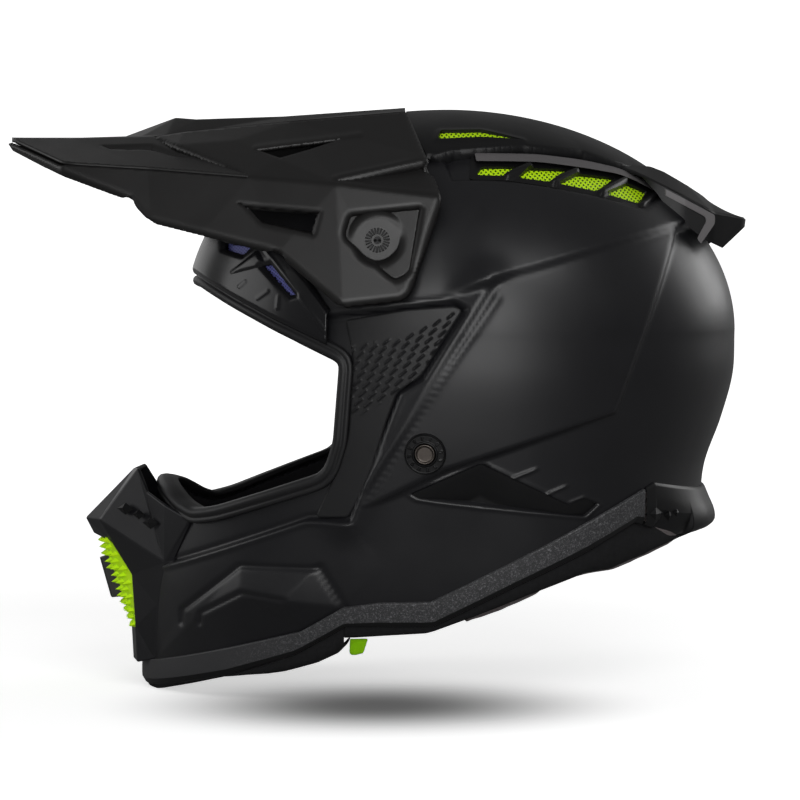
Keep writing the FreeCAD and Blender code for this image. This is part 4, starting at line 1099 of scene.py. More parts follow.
# %% The peak's top panels
TOP_CORNERS = {
    "c0": (0, -237, 136.8), "t0": (44, -231.5, 134.8), "k1": (82, -200, 120.8),
    "k2": (88.5, -157, 118), "k3": (102, -105, 113.4), "m1": (46, -200, 134.4),
    "s2": (46, -158.3, 135.2), "s3": (50, -141.3, 137.6), "s4": (56, -87.1, 142.6),
    "s5": (62, -29, 147.2), "n1": (0, -200, 136.8), "a0": (0, -178, 137.0), "a1": (20, -166, 136.8),
    "b0": (0, -150, 146.6), "b1": (17, -149, 146.4), "c": (0, -138, 145.4), "b2": (24, -138, 145.2),
    "d": (0, -92, 146.8), "b3": (30, -92, 146.4), "e": (0, -29, 151.0), "b4": (34, -29, 150.6),
    "f1": (34, -152, 136.6), "f2": (36, -138, 138.2), "f3": (41, -92, 142.8),
    "f4": (46, -29, 148.6)}
TOP_TRIANGLES = ["c0 t0 m1", "c0 m1 n1", "t0 k1 m1", "n1 m1 a1", "n1 a1 a0", "m1 s2 f1",
                 "m1 f1 a1", "m1 k1 k2", "m1 k2 s2", "s2 k2 k3", "s2 s3 f2", "s2 f2 f1",
                 "s3 s4 f3", "s3 f3 f2", "s4 s5 f4", "s4 f4 f3", "a0 a1 b1", "a0 b1 b0",
                 "a1 f1 b1", "f1 f2 b2", "f1 b2 b1", "f2 f3 b3", "f2 b3 b2", "f3 f4 b4",
                 "f3 b4 b3", "b0 b1 b2", "b0 b2 c", "c b2 b3", "c b3 d", "d b3 b4", "d b4 e"]
print("peak, each half of the top:", len(TOP_TRIANGLES), "panels")

# %% [markdown]
# Both wings carry a sunk panel with the screw's round seat, a vent, and a slot under a raised
# edge. The brim has a slit on each side. At the back the centre screw runs in a saddle, which is a
# band of the circle round the side screws, so the peak can tilt over it.

# %% The peak's details
PIVOT = (-42.8, 83.5)
SEAT_FACE, SEAT_RADIUS = 119.0, 10.5
SCREW_RECESS = rounded([(-61.0, 84.0, 4), (-57.5, 96.6, 3), (-20.0, 100.3, 3), (-25.6, 66.5, 4),
                        (-34.5, 61.4, 5)])
VENT_RIM = rounded([(-112.2, 101.8, 2), (-69.1, 97.9, 2), (-72.8, 84.0, 2), (-101.0, 90.0, 3)])
VENT_HOLE = rounded([(-107.0, 98.8, 1), (-71.6, 95.8, 1), (-74.0, 85.2, 1), (-99.5, 90.9, 2)])
UPPER_SLOT = [(-103.6, 127.4), (-72.0, 131.6), (-60.0, 133.2), (-78.0, 127.0), (-91.5, 122.8)]
SLOT_EDGE = [(-103.6, 128.6), (-52.0, 135.4)]
FIN_EDGE = [(-63.7, 112.4), (-21.0, 121.5)]
FIN_POCKET = [(-64.5, 110.6), (-62.0, 112.6), (-20.0, 121.5), (-8.0, 104.0), (-40.0, 107.0)]
BRIM_SLIT = rounded([(56.5, -184.7, 1), (56, -157.4, 1), (75, -136.7, 1), (73.5, -146, 1),
                     (64.5, -159.5, 1), (62.7, -179.5, 1)])
SADDLE, SADDLE_RADIUS, SADDLE_END = (9.0, -48.9, -20.0), 66.8, -28.0
SLOT_HALF, SLOT_LENGTH, PEAK_WALL = 2.8, 9.3, 2.4
print("side screws: at y, z", PIVOT, "- saddle radius", SADDLE_RADIUS, "mm")

# %% [markdown]
# The side of the peak lies over an outline in the side view. The panels give its width, and each
# detail adds or takes away a little: the recess and seat, the vent's rim, the fin's pocket and
# raised edges. Its lower and rear edges are rounded over.


# %% The peak's side
def peak_outline():
    """Edge of the peak's side in the side view."""
    names = "t0 k1 k2 k3 s2 s3 s4 s5 r k5 e8 e7 e6 e5 e4 e3 e2 e1 e0".split()
    soft = {"r": 4.0, "k5": 5.0, "e8": 2.0, "e7": 2.0, "e6": 3.0, "e5": 8.0, "e4": 8.0, "e3": 4.0,
            "e2": 6.0}
    return rounded([(*SIDE_CORNERS[n][:2], soft.get(n, 0.0)) for n in names])


def peak_side(y, z):
    """The left side of the peak with its recess, seat, vent rim, fin pocket and rounded edge."""
    x = facets(y, z, SIDE_CORNERS, SIDE_TRIANGLES)
    x -= 2.4 * step(inside(y, z, SCREW_RECESS), 2.0)
    flat = step(SEAT_RADIUS + 2.0 - np.hypot(y - PIVOT[0], z - PIVOT[1]), 4.0)
    x = x + (SEAT_FACE - x) * flat
    vent = inside(y, z, VENT_RIM)
    x -= 1.8 * step(vent - 0.4, 1.8)
    fin = inside(y, z, FIN_POCKET)
    fade = np.clip((z - 104.0) / 12.0, 0, 1)
    x -= 4.2 * step(fin - 0.9, 2.2) * fade
    x += 1.0 * ridge(line_distance(y, z, FIN_EDGE), 1.2)
    x += 1.1 * ridge(line_distance(y, z, SLOT_EDGE), 1.3)
    low_edge = [SIDE_CORNERS[n][:2] for n in "k5 e8 e7 e6 e5 e4 e3 e2 e1 e0".split()]
    rim = line_distance(y, z, low_edge)
    x -= 1.5 * np.clip(1 - rim / 2.2, 0, 1) ** 2
    rear = line_distance(y, z, [SIDE_CORNERS[n][:2] for n in "s5 r k5".split()])
    x -= 1.2 * np.clip(1 - rear / 2.0, 0, 1) ** 2
    return np.stack([x, y, z], -1)


print("peak's side: outline of", len(peak_outline()), "points")

# %% [markdown]
# The top is a sheet over the plan with the brim's outline, less a pocket for the saddle. The
# saddle is a third sheet, bent round the pivot and slotted for the centre screw.


# %% The peak's top and saddle
def peak_top(x, y):
    """The top of the peak over the plan, on both sides."""
    side = np.abs(x)
    z = facets(side, y, TOP_CORNERS, TOP_TRIANGLES)
    slit = inside(side, y, BRIM_SLIT)
    z -= 3.4 * step(slit - 0.8, 2.0)
    return np.stack([x, y, z], -1)


def brim_distance(x, y):
    """Positive inside the brim's outline and outside the saddle's pocket."""
    names = "t0 k1 k2 k3 s2 s3 s4 s5".split()
    soft = {"t0": 8.0, "k1": 5.0}
    corners = [(*TOP_CORNERS[n][:2], soft.get(n, 0.0)) for n in names]
    edge = rounded([(0.0, -237.0, 0.0)] + corners + [(0.0, -29.0, 0.0)])
    mirrored = [(-a, b) for a, b in reversed(edge) if a > 0.01]
    whole = inside(x, y, edge + mirrored)
    half, start, end = SADDLE
    pocket = np.maximum(np.abs(x) - half, np.maximum(start - y, y - end))
    return np.minimum(whole, pocket)


def saddle_distance(x, y):
    """Positive on the saddle and outside its slot."""
    half, start, _ = SADDLE
    body = -np.maximum(np.abs(x) - half, np.maximum(start - y, y - SADDLE_END))
    slot = np.hypot(x, np.clip(y, PIVOT[0], PIVOT[0] + SLOT_LENGTH) - y) - SLOT_HALF
    return np.minimum(body, slot)


def saddle_surface(x, y):
    """A band of the circle round the side screws."""
    return np.stack([x, y, PIVOT[1] + np.sqrt(SADDLE_RADIUS**2 - (y - PIVOT[0]) ** 2)], -1)


def build_peak():
    """Both sides, the top and the saddle as one skin with a wall inwards."""
    edge = peak_outline()
    side = both_sides(*lifted(outlines(edge, holes=[VENT_HOLE, UPPER_SLOT]), corner_box(edge),
                              peak_side, 0.75))
    top = lifted(brim_distance, ((-103, -238), (103, -28)), peak_top, 0.9)
    saddle = lifted(saddle_distance, ((-10, -50), (10, -27)), saddle_surface, 0.5)
    points, quads = joined(side, top, saddle)
    peak = new_object("peak_skin", new_mesh("peak_skin", points, quads, ["peak_black"]))
    return place(walled(peak, PEAK_WALL, -1.0), "peak", "peak")


peak_skin = build_peak()
print("peak:", len(peak_skin.data.polygons), "faces")

# %% [markdown]
# ## The gasket and the bands along the edges
# The eye port wears a rolled rubber lip, pushed over the cut edge of the shell. It is one profile
# swept along the port's outline, so its highlight runs unbroken round the opening. The path is
# drawn in the side view, set on the form and mirrored. A bevelled curve would do too, but its
# profile twists where the path turns; here it always stands on the form.

# %% A profile swept along the port
PORT_SPACING = 2.5
PORT_RADII = {4: 7.0, 6: 12.0, 7: 10.0}


def port_path():
    """Points along the left rim of the eye port, from the brow's middle to the nose."""
    outline = rounded([(*p, PORT_RADII.get(i, 3.0)) for i, p in enumerate(EYE_PORT)])
    start = max(range(len(outline)), key=lambda i: outline[i][1] - outline[i][0])
    run = np.array(outline[start:] + outline[:start])
    length = np.concatenate([[0], np.cumsum(np.linalg.norm(np.diff(run, axis=0), axis=1))])
    fine = np.arange(0, length[-1], 0.01)
    y, z = np.interp(fine, length, run[:, 0]), np.interp(fine, length, run[:, 1])
    x = side_x(y, z)
    y, z, x = y[x > 0], z[x > 0], x[x > 0]
    points = np.stack([x, y, z], -1)
    steps = np.concatenate([[0], np.cumsum(np.linalg.norm(np.diff(points, axis=0), axis=1))])
    even = np.linspace(0, steps[-1], int(steps[-1] / PORT_SPACING))
    return np.stack([np.interp(even, steps, points[:, i]) for i in range(3)], -1)


def swept(path, profile, inner_point):
    """A profile of widths and heights swept round a closed path, width away from a point."""
    tangent = np.roll(path, -1, axis=0) - np.roll(path, 1, axis=0)
    tangent /= np.linalg.norm(tangent, axis=1, keepdims=True)
    up = outward(path)
    across = np.cross(tangent, up)
    across /= np.linalg.norm(across, axis=1, keepdims=True)
    across *= np.sign((across * (path - inner_point)).sum(1, keepdims=True))
    up = np.cross(across, tangent)
    up *= np.sign((up * outward(path)).sum(1, keepdims=True))
    rows = [path + across * width + up * height for width, height in profile]
    points = np.stack(rows, 1)
    count, width = len(path), len(profile)
    c = np.arange(width)
    last = np.stack([(count - 1) * width + c, (count - 1) * width + (c + 1) % width,
                     (c + 1) % width, c], -1)
    quads = np.concatenate([grid_quads(count, width, closed=True), last])
    return points.reshape(-1, 3), quads


print("port: half its rim has", len(port_path()), "points")

# %% [markdown]
# The lip's profile starts deep inside the wall, rolls over the edge and ends flat on the shell.

# %% Gasket
GASKET_PROFILE = [(-5.0, -9.0), (-5.4, -5.0), (-5.3, -1.5), (-4.6, 0.6), (-3.3, 1.6),
                  (-1.8, 1.8), (-0.6, 1.2), (0.0, 0.4), (0.6, 0.9), (1.8, 1.0), (2.6, 0.5),
                  (2.8, -0.8), (0.0, -2.0), (-2.6, -3.4), (-3.0, -9.0)]


def build_gasket():
    """The rubber lip round the eye port."""
    left = port_path()
    right = (left * (-1, 1, 1))[::-1]
    path = np.concatenate([left, right[1:-1]])
    inner = np.stack([path[:, 0] * 0.6, np.full(len(path), -130.0), np.full(len(path), 8.0)], -1)
    points, quads = swept(path, GASKET_PROFILE, inner)
    gasket = new_object("port_lip", new_mesh("port_lip", points, quads, ["rubber_black"]))
    weld_and_face(gasket)
    return place(gasket, "helmet", "eye_port_gasket")


build_gasket()
print("gasket: one lip round the port")

# %% [markdown]
# The band along the lower edge is a rubber extrusion: a speckled face with a black bevel under it.
# It follows two lines of the side view round the front, and ends where the rear exhaust begins.
# Its rows are shares of the way from the upper line to the lower one, each with a height above the
# form.

# %% Hem band
HEM_BOTTOM = [(-180.0, -148.4), (-163.0, -147.6), (-156.0, -146.0), (-118.7, -136.2),
              (-84.4, -123.6), (-58.6, -108.0), (-15.0, -107.0), (24.8, -86.8), (59.0, -71.0),
              (85.0, -57.0), (110.0, -66.0), (133.0, -64.0), (150.0, -64.0)]


def edge_heights(turn, line):
    """Height at which each turn meets a line of the side view."""
    height = np.full(turn.shape, -90.0)
    for _ in range(15):
        height = np.interp(around(turn, height)[..., 1], *zip(*line))
    return height


def strip(turn, profile, top=HEM_TOP, bottom=HEM_BOTTOM):
    """Rows of points from the top line to the bottom line at the profile's shares and heights."""
    high, low = edge_heights(turn, top), edge_heights(turn, bottom)
    rows = []
    for share, height in profile:
        base = around(turn, high + (low - high) * share)
        rows.append(base + outward(base) * np.broadcast_to(height, turn.shape)[..., None])
    return np.stack(rows)


HEM_PROFILE = [(0.02, -1.0), (0.0, 0.8), (0.015, 1.6), (0.05, 2.0), (0.3, 2.1), (0.6, 2.1),
               (0.76, 2.0), (0.80, 1.7), (0.97, 0.4), (1.0, -0.4), (1.0, -3.0)]


BEVEL_ROW = 6


def build_hem_band():
    """The speckled band with its black bevel."""
    end = level_turn(89.0, -47.0)
    turn = np.linspace(end, 2 * np.pi - end, 500)
    points = strip(turn, HEM_PROFILE)
    quads = grid_quads(*points.shape[:2])[:, ::-1]
    row = np.repeat(np.arange(points.shape[0] - 1), len(turn) - 1)
    mesh = new_mesh("hem_rubber", points, quads, ["hem_grey", "trim_black"],
                    (row >= BEVEL_ROW) * 1)
    band = new_object("hem_rubber", mesh)
    sharpen(band, 25)
    return place(band, "helmet", "hem_band")


print("hem band:", len(build_hem_band().data.polygons), "faces")

# %% [markdown]
# Behind the band the rear exhaust bulges out of the shell, most at its lower lip. It is the same
# kind of strip, with heights that grow from its ends to its middle. Near each end its lip sinks
# in: those are the mouths that let the air out.


# %% Rear exhaust
SWELL_TURN, MOUTH_FROM_END, MOUTH_TURN, MOUTH_DEPTH = 0.5, 0.19, 0.13, 3.2


def build_exhaust():
    """The rear exhaust, a swelling strip with two mouths."""
    end = level_turn(90.0, -47.0)
    turn = np.linspace(-end, end, 360)
    reach = np.clip((end - np.abs(turn)) / SWELL_TURN, 0, 1)
    reach = reach * reach * (3 - 2 * reach)
    profile = [(0.02, -1.0), (0.0, 0.6), (0.03, 1.4 + 0.4 * reach), (0.3, 2.0 + 2.0 * reach),
               (0.55, 2.2 + 4.6 * reach), (0.78, 2.2 + 5.6 * reach), (0.9, 1.6 + 5.4 * reach),
               (1.0, 0.2 + 3.4 * reach), (1.0, -3.0)]
    points = strip(turn, profile)
    mouth = np.abs(np.abs(turn) - end + MOUTH_FROM_END) < MOUTH_TURN
    points[5:8, mouth] -= outward(points[5:8, mouth]) * MOUTH_DEPTH
    quads = grid_quads(*points.shape[:2])[:, ::-1]
    exhaust = new_object("rear_duct", new_mesh("rear_duct", points, quads, ["trim_black"]))
    sharpen(exhaust, 30)
    smooth = exhaust.modifiers.new("round", "SUBSURF")
    smooth.levels = smooth.render_levels = 1
    return place(exhaust, "helmet", "rear_exhaust")


print("rear exhaust:", len(build_exhaust().data.polygons), "faces")

# %% [markdown]
# Small pyramids stand on the exhaust. Each has four faces that meet in a tip; where a face has
# only three corners, its quad names the tip twice, and the doubled corner is dropped at the end.

# %% Studs of the exhaust
STUD_QUADS = np.array([[0, 1, 4, 4], [1, 2, 4, 4], [2, 3, 4, 4], [3, 0, 4, 4]])
QUARTERS = np.arange(4) * math.pi / 2
EXHAUST_STUDS = [((96.2, -53.0), 5.5, 6.5), ((103.8, -54.4), 3.6, 7.5), ((108.0, -53.4), 4.2, 9.0)]


def pyramid(middle, size, height):
    """A four-sided stud that stands out from the left of the shell."""
    y, z = middle
    foot = [(y + size * math.cos(a), z + size * math.sin(a)) for a in QUARTERS]
    base = np.array([(side_x(a, b) + 1.0, a, b) for a, b in foot])
    tip = np.array([[side_x(y, z) + height, y, z]])
    return np.concatenate([base, tip]), STUD_QUADS


def with_triangles(quads):
    """Faces as tuples, each without its doubled corner."""
    return [tuple(dict.fromkeys(int(i) for i in quad)) for quad in quads]


def studded(name, studs, material):
    """A piece of loose studs on both sides."""
    points, quads = joined(*[both_sides(*stud) for stud in studs])
    piece = new_object(name, new_mesh(name, points, with_triangles(quads), [material]))
    sharpen(piece, 10)
    return place(piece, "helmet", slot="shell_black")


studded("exhaust_studs", [pyramid(*row) for row in EXHAUST_STUDS], "screw_black")
print("exhaust studs:", 2 * len(EXHAUST_STUDS))

# %% [markdown]
# Under the band hangs the neck skirt: a black leathercloth panel that closes the gap between the
# band and the lining, from the cheeks round the back. In front the chin curtain does the same.
# Cloth simulation would let them sag, but the real ones are pulled taut between two stitched
# edges, so each is a strip with a drawn profile.

# %% Neck skirt and chin curtain
ROLL_LOW = [(-60.0, -116.0), (-55.2, -115.8), (-18.9, -112.6), (4.9, -104.0), (33.8, -92.6),
            (61.8, -82.6), (75.0, -81.4), (94.0, -75.0), (111.5, -68.2), (128.0, -65.0),
            (140.0, -65.0)]
CURTAIN_LOW = [(-175.0, -138.0), (-150.0, -140.0), (-120.6, -138.0), (-100.0, -135.8),
               (-91.4, -134.3), (-75.0, -129.5), (-64.4, -124.4), (-58.0, -118.0)]
SKIRT_PROFILE = [(-0.25, -2.4), (0.0, -1.6), (0.3, -1.0), (0.6, -1.2), (0.82, -2.4), (0.94, -4.4),
                 (1.0, -7.5), (1.0, -10.5), (0.95, -14.0)]


LEATHER_WALL = 0.8


def leather_panel(name, turn, low_line):
    """A panel of leathercloth from the band's lower edge to a line below it."""
    points = strip(turn, SKIRT_PROFILE, HEM_BOTTOM, low_line)
    quads = grid_quads(*points.shape[:2])[:, ::-1]
    panel = new_object(name, new_mesh(name, points, quads, ["leather_black"]))
    return place(walled(panel, -LEATHER_WALL), "helmet")


skirt_end, curtain_end = level_turn(-60.0, -110.0), level_turn(-60.0, -116.0)
leather_panel("neck_skirt", np.linspace(-skirt_end, skirt_end, 420), ROLL_LOW)
leather_panel("chin_curtain", np.linspace(curtain_end, 2 * np.pi - curtain_end, 300), CURTAIN_LOW)
print("skirt and curtain: two panels")

# %% [markdown]
# ## The crown: cover, tail, vents and their meshes
# The cover is a separate moulding over the top. Seen from the side it is nearly level there, so it
# is laid out in the plan instead, and each point drops onto the form. The form's formula gives a
# width for a height, not the other way round, so the height is found by halving.


# %% From the plan to the form
def crown_z(x, y, offset):
    """Height of the enlarged form above a point of the plan."""
    low = np.full(np.shape(x), TEMPLE)
    high = np.full(np.shape(x), CROWN - 0.02) - offset
    for _ in range(34):  # halving the gap this often leaves no error that shows
        middle_z = (low + high) / 2
        middle, back, front, half = section(middle_z, offset)
        reach = np.where(y > middle, back, front)
        below = (x / half) ** 2 + ((y - middle) / reach) ** 2 < 1
        low = np.where(below, middle_z, low)
        high = np.where(below, high, middle_z)
    return low


def above_plan(x, y, height):
    """Points that stand a height above the form over the plan."""
    base = np.stack([x, y, crown_z(x, y, 0.0)], -1)
    return base + outward(base) * np.broadcast_to(height, np.shape(x))[..., None]


print("crown's height in the middle:", np.round(crown_z(np.zeros(1), np.zeros(1), 0.0), 1))

# %% [markdown]
# The cover's edge and slot are drawn in the side view and carried over to the plan. Its height
# grows fast at the rim, which makes the rounded lip, and slowly towards the middle.

# %% Crown cover
COVER_EDGE = [(-28.0, 146.5), (-28.4, 143.6), (-17.8, 126.8), (-12.0, 126.5), (-4.6, 128.6),
              (29.3, 131.0), (60.5, 128.6), (88.4, 120.6), (106.0, 111.0), (128.0, 94.0)]
TOP_SLOT = rounded([(-12.5, 137.4, 1), (8.7, 138.3, 1), (29.0, 137.6, 0), (8.9, 141.4, 1),
                    (-10.8, 141.2, 1)])
COVER_PROUD = 6.5


def dense(line):
    """A line with a point every millimetre along its runs."""
    run = []
    for (a, b), (c, d) in zip(line, line[1:]):
        count = max(1, int(math.hypot(c - a, d - b)))
        run += [(a + (c - a) * i / count, b + (d - b) * i / count) for i in range(count)]
    return run + [line[-1]]


def in_plan(line, proud):
    """A line of the side view, set on the left of the form and seen from above."""
    return [(float(side_x(y, z, -proud)), y) for y, z in dense(line) if side_x(y, z, -proud) > 1]


def build_cover():
    """The cover's sheet: its slots cut out, and its rim closed down to the shell."""
    left = in_plan(COVER_EDGE, 3.0)
    edge = [(0.0, left[0][1])] + left + [(0.0, left[-1][1])]
    whole = edge + [(-a, b) for a, b in reversed(edge) if a > 0]
    slot = in_plan(TOP_SLOT, COVER_PROUD)
    longer = [(a, b - 60.0 if b < -17.0 else b) for a, b in whole]

    def distance(x, y):
        return np.minimum(inside(x, y, whole), -inside(np.abs(x), y, slot))

    def height(x, y):
        rim = np.clip(inside(x, y, longer), 0, None)
        lip = np.sqrt(np.clip(1 - (1 - np.clip(rim / 2.4, 0, 1)) ** 2, 0, None))
        high = 1.2 + 2.6 * lip + (COVER_PROUD - 3.8) * (1 - np.exp(-rim / 11.0))
        high = high + 0.7 * ridge(inside(np.abs(x), y, slot), 2.0)
        return high - 0.6 * ridge(np.abs(np.abs(x) - 24 + 0.1 * np.abs(y)), 2.0)

    return lifted(distance, ((-104, -31), (104, 130)),
                  lambda x, y: above_plan(x, y, height(x, y)), 1.0,
                  lambda x, y: above_plan(x, y, -2.6))


cover_sheet = build_cover()
print("crown cover:", len(cover_sheet[1]), "quads")

# %% [markdown]
# The cover ends in a stepped tail that juts out behind. Its top falls from the middle to its
# sides, so both lines are drawn in the side view, and the plan's distance to the edge chooses
# between them.

# %% Tail block
TAIL_TOP = [(76.0, 131.5), (89.4, 126.2), (104.8, 119.8), (128.6, 106.0), (134.5, 103.6),
            (147.2, 98.0)]
TAIL_SIDE_TOP = [(76.0, 124.0), (88.7, 119.4), (106.0, 110.6), (129.2, 98.6), (147.2, 96.0)]
TAIL_FOOT = [(76.0, 122.0), (92.0, 116.5), (99.0, 109.0), (107.0, 98.0), (124.0, 84.5),
             (134.0, 80.2), (146.0, 90.6), (147.2, 91.4)]
TAIL_PLAN = [(46, 76, 0), (57, 96, 4), (58, 112, 3), (55, 127, 3), (38, 147.2, 4)]


def build_tail():
    """The tail's sheet, with side walls down to its foot."""
    edge = rounded([(0, 76, 0)] + TAIL_PLAN + [(0, 147.2, 0)])
    whole = edge + [(-a, b) for a, b in reversed(edge) if a > 0.01]

    def distance(x, y):
        return inside(x, y, whole)

    def surface(x, y):
        rim = np.clip(distance(x, y), 0, None)
        middle, side = np.interp(y, *zip(*TAIL_TOP)), np.interp(y, *zip(*TAIL_SIDE_TOP))
        z = side + (middle - side) * np.clip((rim - 0.8) / 21.0, 0, 1)
        z = z - 1.0 * np.clip(1 - rim / 1.2, 0, 1) ** 2
        return np.stack([x, y, z], -1)

    def foot(x, y):
        return np.stack([x * 0.99, y - 0.5, np.interp(y, *zip(*TAIL_FOOT))], -1)

    return lifted(distance, ((-68, 75), (68, 149)), surface, 0.9, foot)


spoiler = piece_from("crown_cover", joined(cover_sheet, build_tail()), "trim_black",
                     replaced=["crown_spoiler"])
print("cover and tail:", len(spoiler.data.polygons), "faces")

# %% [markdown]
# Each side of the crown has a sunk strip with four windows. The frame between them is a thin plate
# with round-ended ribs; the punched sheet lies behind it, and a grey strip runs above it and hooks
# round the tail.

# %% Crown vents
CROWN_RIBS = [[(32.6, 120.4), (21.5, 115.2)], [(56.4, 118.0), (44.6, 112.6)],
              [(82.0, 114.0), (69.2, 107.6)], [(97.6, 106.8), (90.0, 101.2)]]
VENT_PLATE = rounded([(4.0, 128.5, 2), (2.6, 113.6, 2), (21.0, 113.2, 2), (41.0, 110.4, 2),
                      (63.5, 105.8, 2), (90.0, 98.6, 2), (106.0, 107.2, 2), (88.4, 122.0, 4),
                      (60.5, 130.0, 6), (29.3, 132.4, 6)])
STRIPE = rounded([(5.5, 125.5, 0.5), (6.2, 121.4, 0.5), (36.9, 121.2, 6), (59.7, 118.6, 6),
                  (78.0, 116.0, 4), (86.0, 113.2, 4), (96.0, 108.4, 2), (122.0, 94.6, 1.5),
                  (122.6, 92.4, 1.0), (117.8, 83.8, 0.3), (119.8, 81.2, 0.3), (127.0, 91.2, 1.0),
                  (127.2, 95.4, 1.0), (97.0, 111.0, 2), (80.3, 119.0, 6), (59.7, 122.8, 6),
                  (36.9, 125.2, 6)])


def vent_height(y, z):
    """The vent plate lies low, its ribs stand up with round tops."""
    height = np.full(np.shape(y), 0.2)
    for rib in CROWN_RIBS:
        height = np.maximum(height, 2.6 - 0.45 * line_distance(y, z, rib) ** 2)
    return height


def stripe_surface(y, z):
    """On the vent plate first, then down the tail's side."""
    wall = np.interp(y, [76.0, 96.0, 112.0, 127.0, 147.0], [46.0, 57.0, 58.0, 55.0, 38.0])
    base = on_form(lambda a, b: 2.4 + 0 * a)(y, z)
    base[:, 0] = np.maximum(base[:, 0], wall * step(y - 97.0, 10.0)) + 0.35
    return base


def stripe_foot(y, z):
    """The stripe's underside, 1.6 mm further in."""
    return stripe_surface(y, z) - np.array([1.6, 0, 0])


plate = side_trim(VENT_PLATE, vent_height, pitch=0.8,
                  holes=[rounded([(*p, 1.2) for p in w]) for w in CROWN_WINDOWS])
pair_from("vent_plate", plate, "trim_black", "crown_vent_left")
panes = side_trim(VENT_PLATE, lambda y, z: -1.4 + 0 * y, pitch=2.0)
pair_from("vent_pane", panes, "mesh_green", "crown_mesh_left")
stripe = lifted(outlines(STRIPE), corner_box(STRIPE), stripe_surface, 0.8, stripe_foot)
pair_from("grey_stripe", stripe, "stripe_grey", "vent_stripe_left")
print("crown vents: two plates, two panes, two stripes")

# %% [markdown]
# The slit in the top of the cover shows the same punched sheet. One patch, a little larger than
# the slit, is laid under the cover, as the maker does.

# %% Top mesh
PANE_HEIGHT = 4.6


def build_top_mesh():
    """A patch of punched sheet under the slit of the cover."""
    under = in_plan(rounded([(-15.0, 136.0), (33.0, 136.0), (33.0, 143.0), (-15.0, 143.0)]),
                    PANE_HEIGHT)
    return lifted(lambda x, y: inside(x, y, under), corner_box(under),
                  lambda x, y: above_plan(x, y, PANE_HEIGHT), 1.5)


pair_from("top_pane", build_top_mesh(), "mesh_green", "top_mesh_left")
print("top meshes: two")

# %% [markdown]
# ## The muzzle
# The nose of the chin bar is a separate cover with flat folded faces, so it is built from named
# corners like a paper model, given a wall and slightly rounded folds. Its seam lies on the shell,
# so those corners are worked out from the form instead of typed.

# %% Muzzle cover
MUZZLE_CORNERS = {
    "t0": (0, -172.5, -35.5), "t1": (19, -169.0, -34.5), "q1": (30, -163.5, -46.0),
    "q2": (44, -153.0, -52.0), "q3": (56, -139.0, -58.5), "n0": (0, -198.5, -62.0),
    "r1": (13, -189.5, -62.0), "m0": (0, -194.0, -70.5),
    "m1": (15, -183.0, -74.0), "c1": (21, -172.2, -90.1), "c2": (21, -170.2, -117.5),
    "c3": (23, -169.0, -135.5),
    "b2": (0, -174.0, -118.5), "b3": (0, -173.0, -136.5), "d0": (50, -134, -62.0)}
SEAM = {"s1": (-153.5, -81.5), "s2": (-158.0, -104.8), "s3": (-160.0, -133.5)}
SEAM_PROUD, LIP_WIDTH, LIP_DEPTH = 1.2, 5, 3.0
for corner, (seam_y, seam_z) in SEAM.items():
    MUZZLE_CORNERS[corner] = (float(side_x(seam_y, seam_z)) + SEAM_PROUD, seam_y, seam_z)
    inner = float(side_x(seam_y + LIP_WIDTH, seam_z)) - LIP_DEPTH
    MUZZLE_CORNERS["d" + corner[1]] = (inner, seam_y + LIP_WIDTH, seam_z)
FLAT_FOLD = math.radians(12)
MUZZLE_FACES = ["t0 t1 r1 n0", "t1 q1 s1 r1", "q1 q2 s1", "q2 q3 s1", "n0 r1 m1 m0", "r1 s1 c1 m1",
                "c1 s1 s2 c2", "c2 s2 s3 c3", "c2 c3 b3 b2", "s1 d1 d2 s2", "s2 d2 d3 s3",
                "q3 d0 d1 s1"]


def folded(name, corners, faces, material, wall, fold):
    """A piece of flat faces, mirrored, with a wall inwards and rounded folds."""
    names = list(corners)
    points = [tuple(float(c) for c in corners[n]) for n in names]
    shapes = [[names.index(n) for n in face.split()] for face in faces]
    points += [(-x, y, z) for x, y, z in points]
    shapes += [[i + len(names) for i in reversed(shape)] for shape in shapes]
    piece = new_object(name, new_mesh(name, points, shapes, [material]))
    weld_and_face(piece)
    for polygon in piece.data.polygons:
        polygon.use_smooth = False
    walled(piece, wall, -1.0)
    round_folds = piece.modifiers.new("folds", "BEVEL")
    round_folds.width, round_folds.segments = fold * MM, 3
    round_folds.limit_method, round_folds.angle_limit = "ANGLE", FLAT_FOLD
    return piece


cover = folded("muzzle_shell", MUZZLE_CORNERS, MUZZLE_FACES, "shell_black", 2.2, 0.7)
place(cover, "helmet", "muzzle_cover")
print("muzzle cover:", 2 * len(MUZZLE_FACES), "faces")

# %% [markdown]
# The mouth of the muzzle holds the green insert: a curved plate with staggered rows of spikes. A
# spike leans down and outwards, so that mud runs off it.

# %% Green insert
SPIKE_ROWS, SPIKE_STEP, ROW_STEP = 13, 0.29, 0.078
SPIKE_SIZE = (0.10, 0.034)


def insert_point(u, v):
    """A point of the green insert: u from -1 to 1 across, v from 0 at its top to 1 at its foot."""
    z = -71.5 - 46.5 * v
    edge = np.interp(z, [-118, -90, -74, -71], [-170.0, -172.0, -183.0, -186.0])
    middle = np.interp(z, [-118, -103.5, -84, -71], [-170.5, -178.0, -186.3, -188.8])
    half = np.interp(z, [-118, -90, -74, -71], [20.0, 20.0, 14.5, 13.0])
    return np.stack([half * u, middle + (edge - middle) * np.abs(u) ** 1.7, z], -1)


def spike(u, v):
    """A four-sided spike at a place of the plate."""
    ring = [(u + SPIKE_SIZE[0] * math.cos(a), v + SPIKE_SIZE[1] * math.sin(a)) for a in QUARTERS]
    foot = np.array([insert_point(np.array(a), np.array(min(b, 1.0))) for a, b in ring])
    tip = foot.mean(0) + np.array([u * 1.4, -3.6, -0.8])
    return np.concatenate([foot, [tip]]), STUD_QUADS


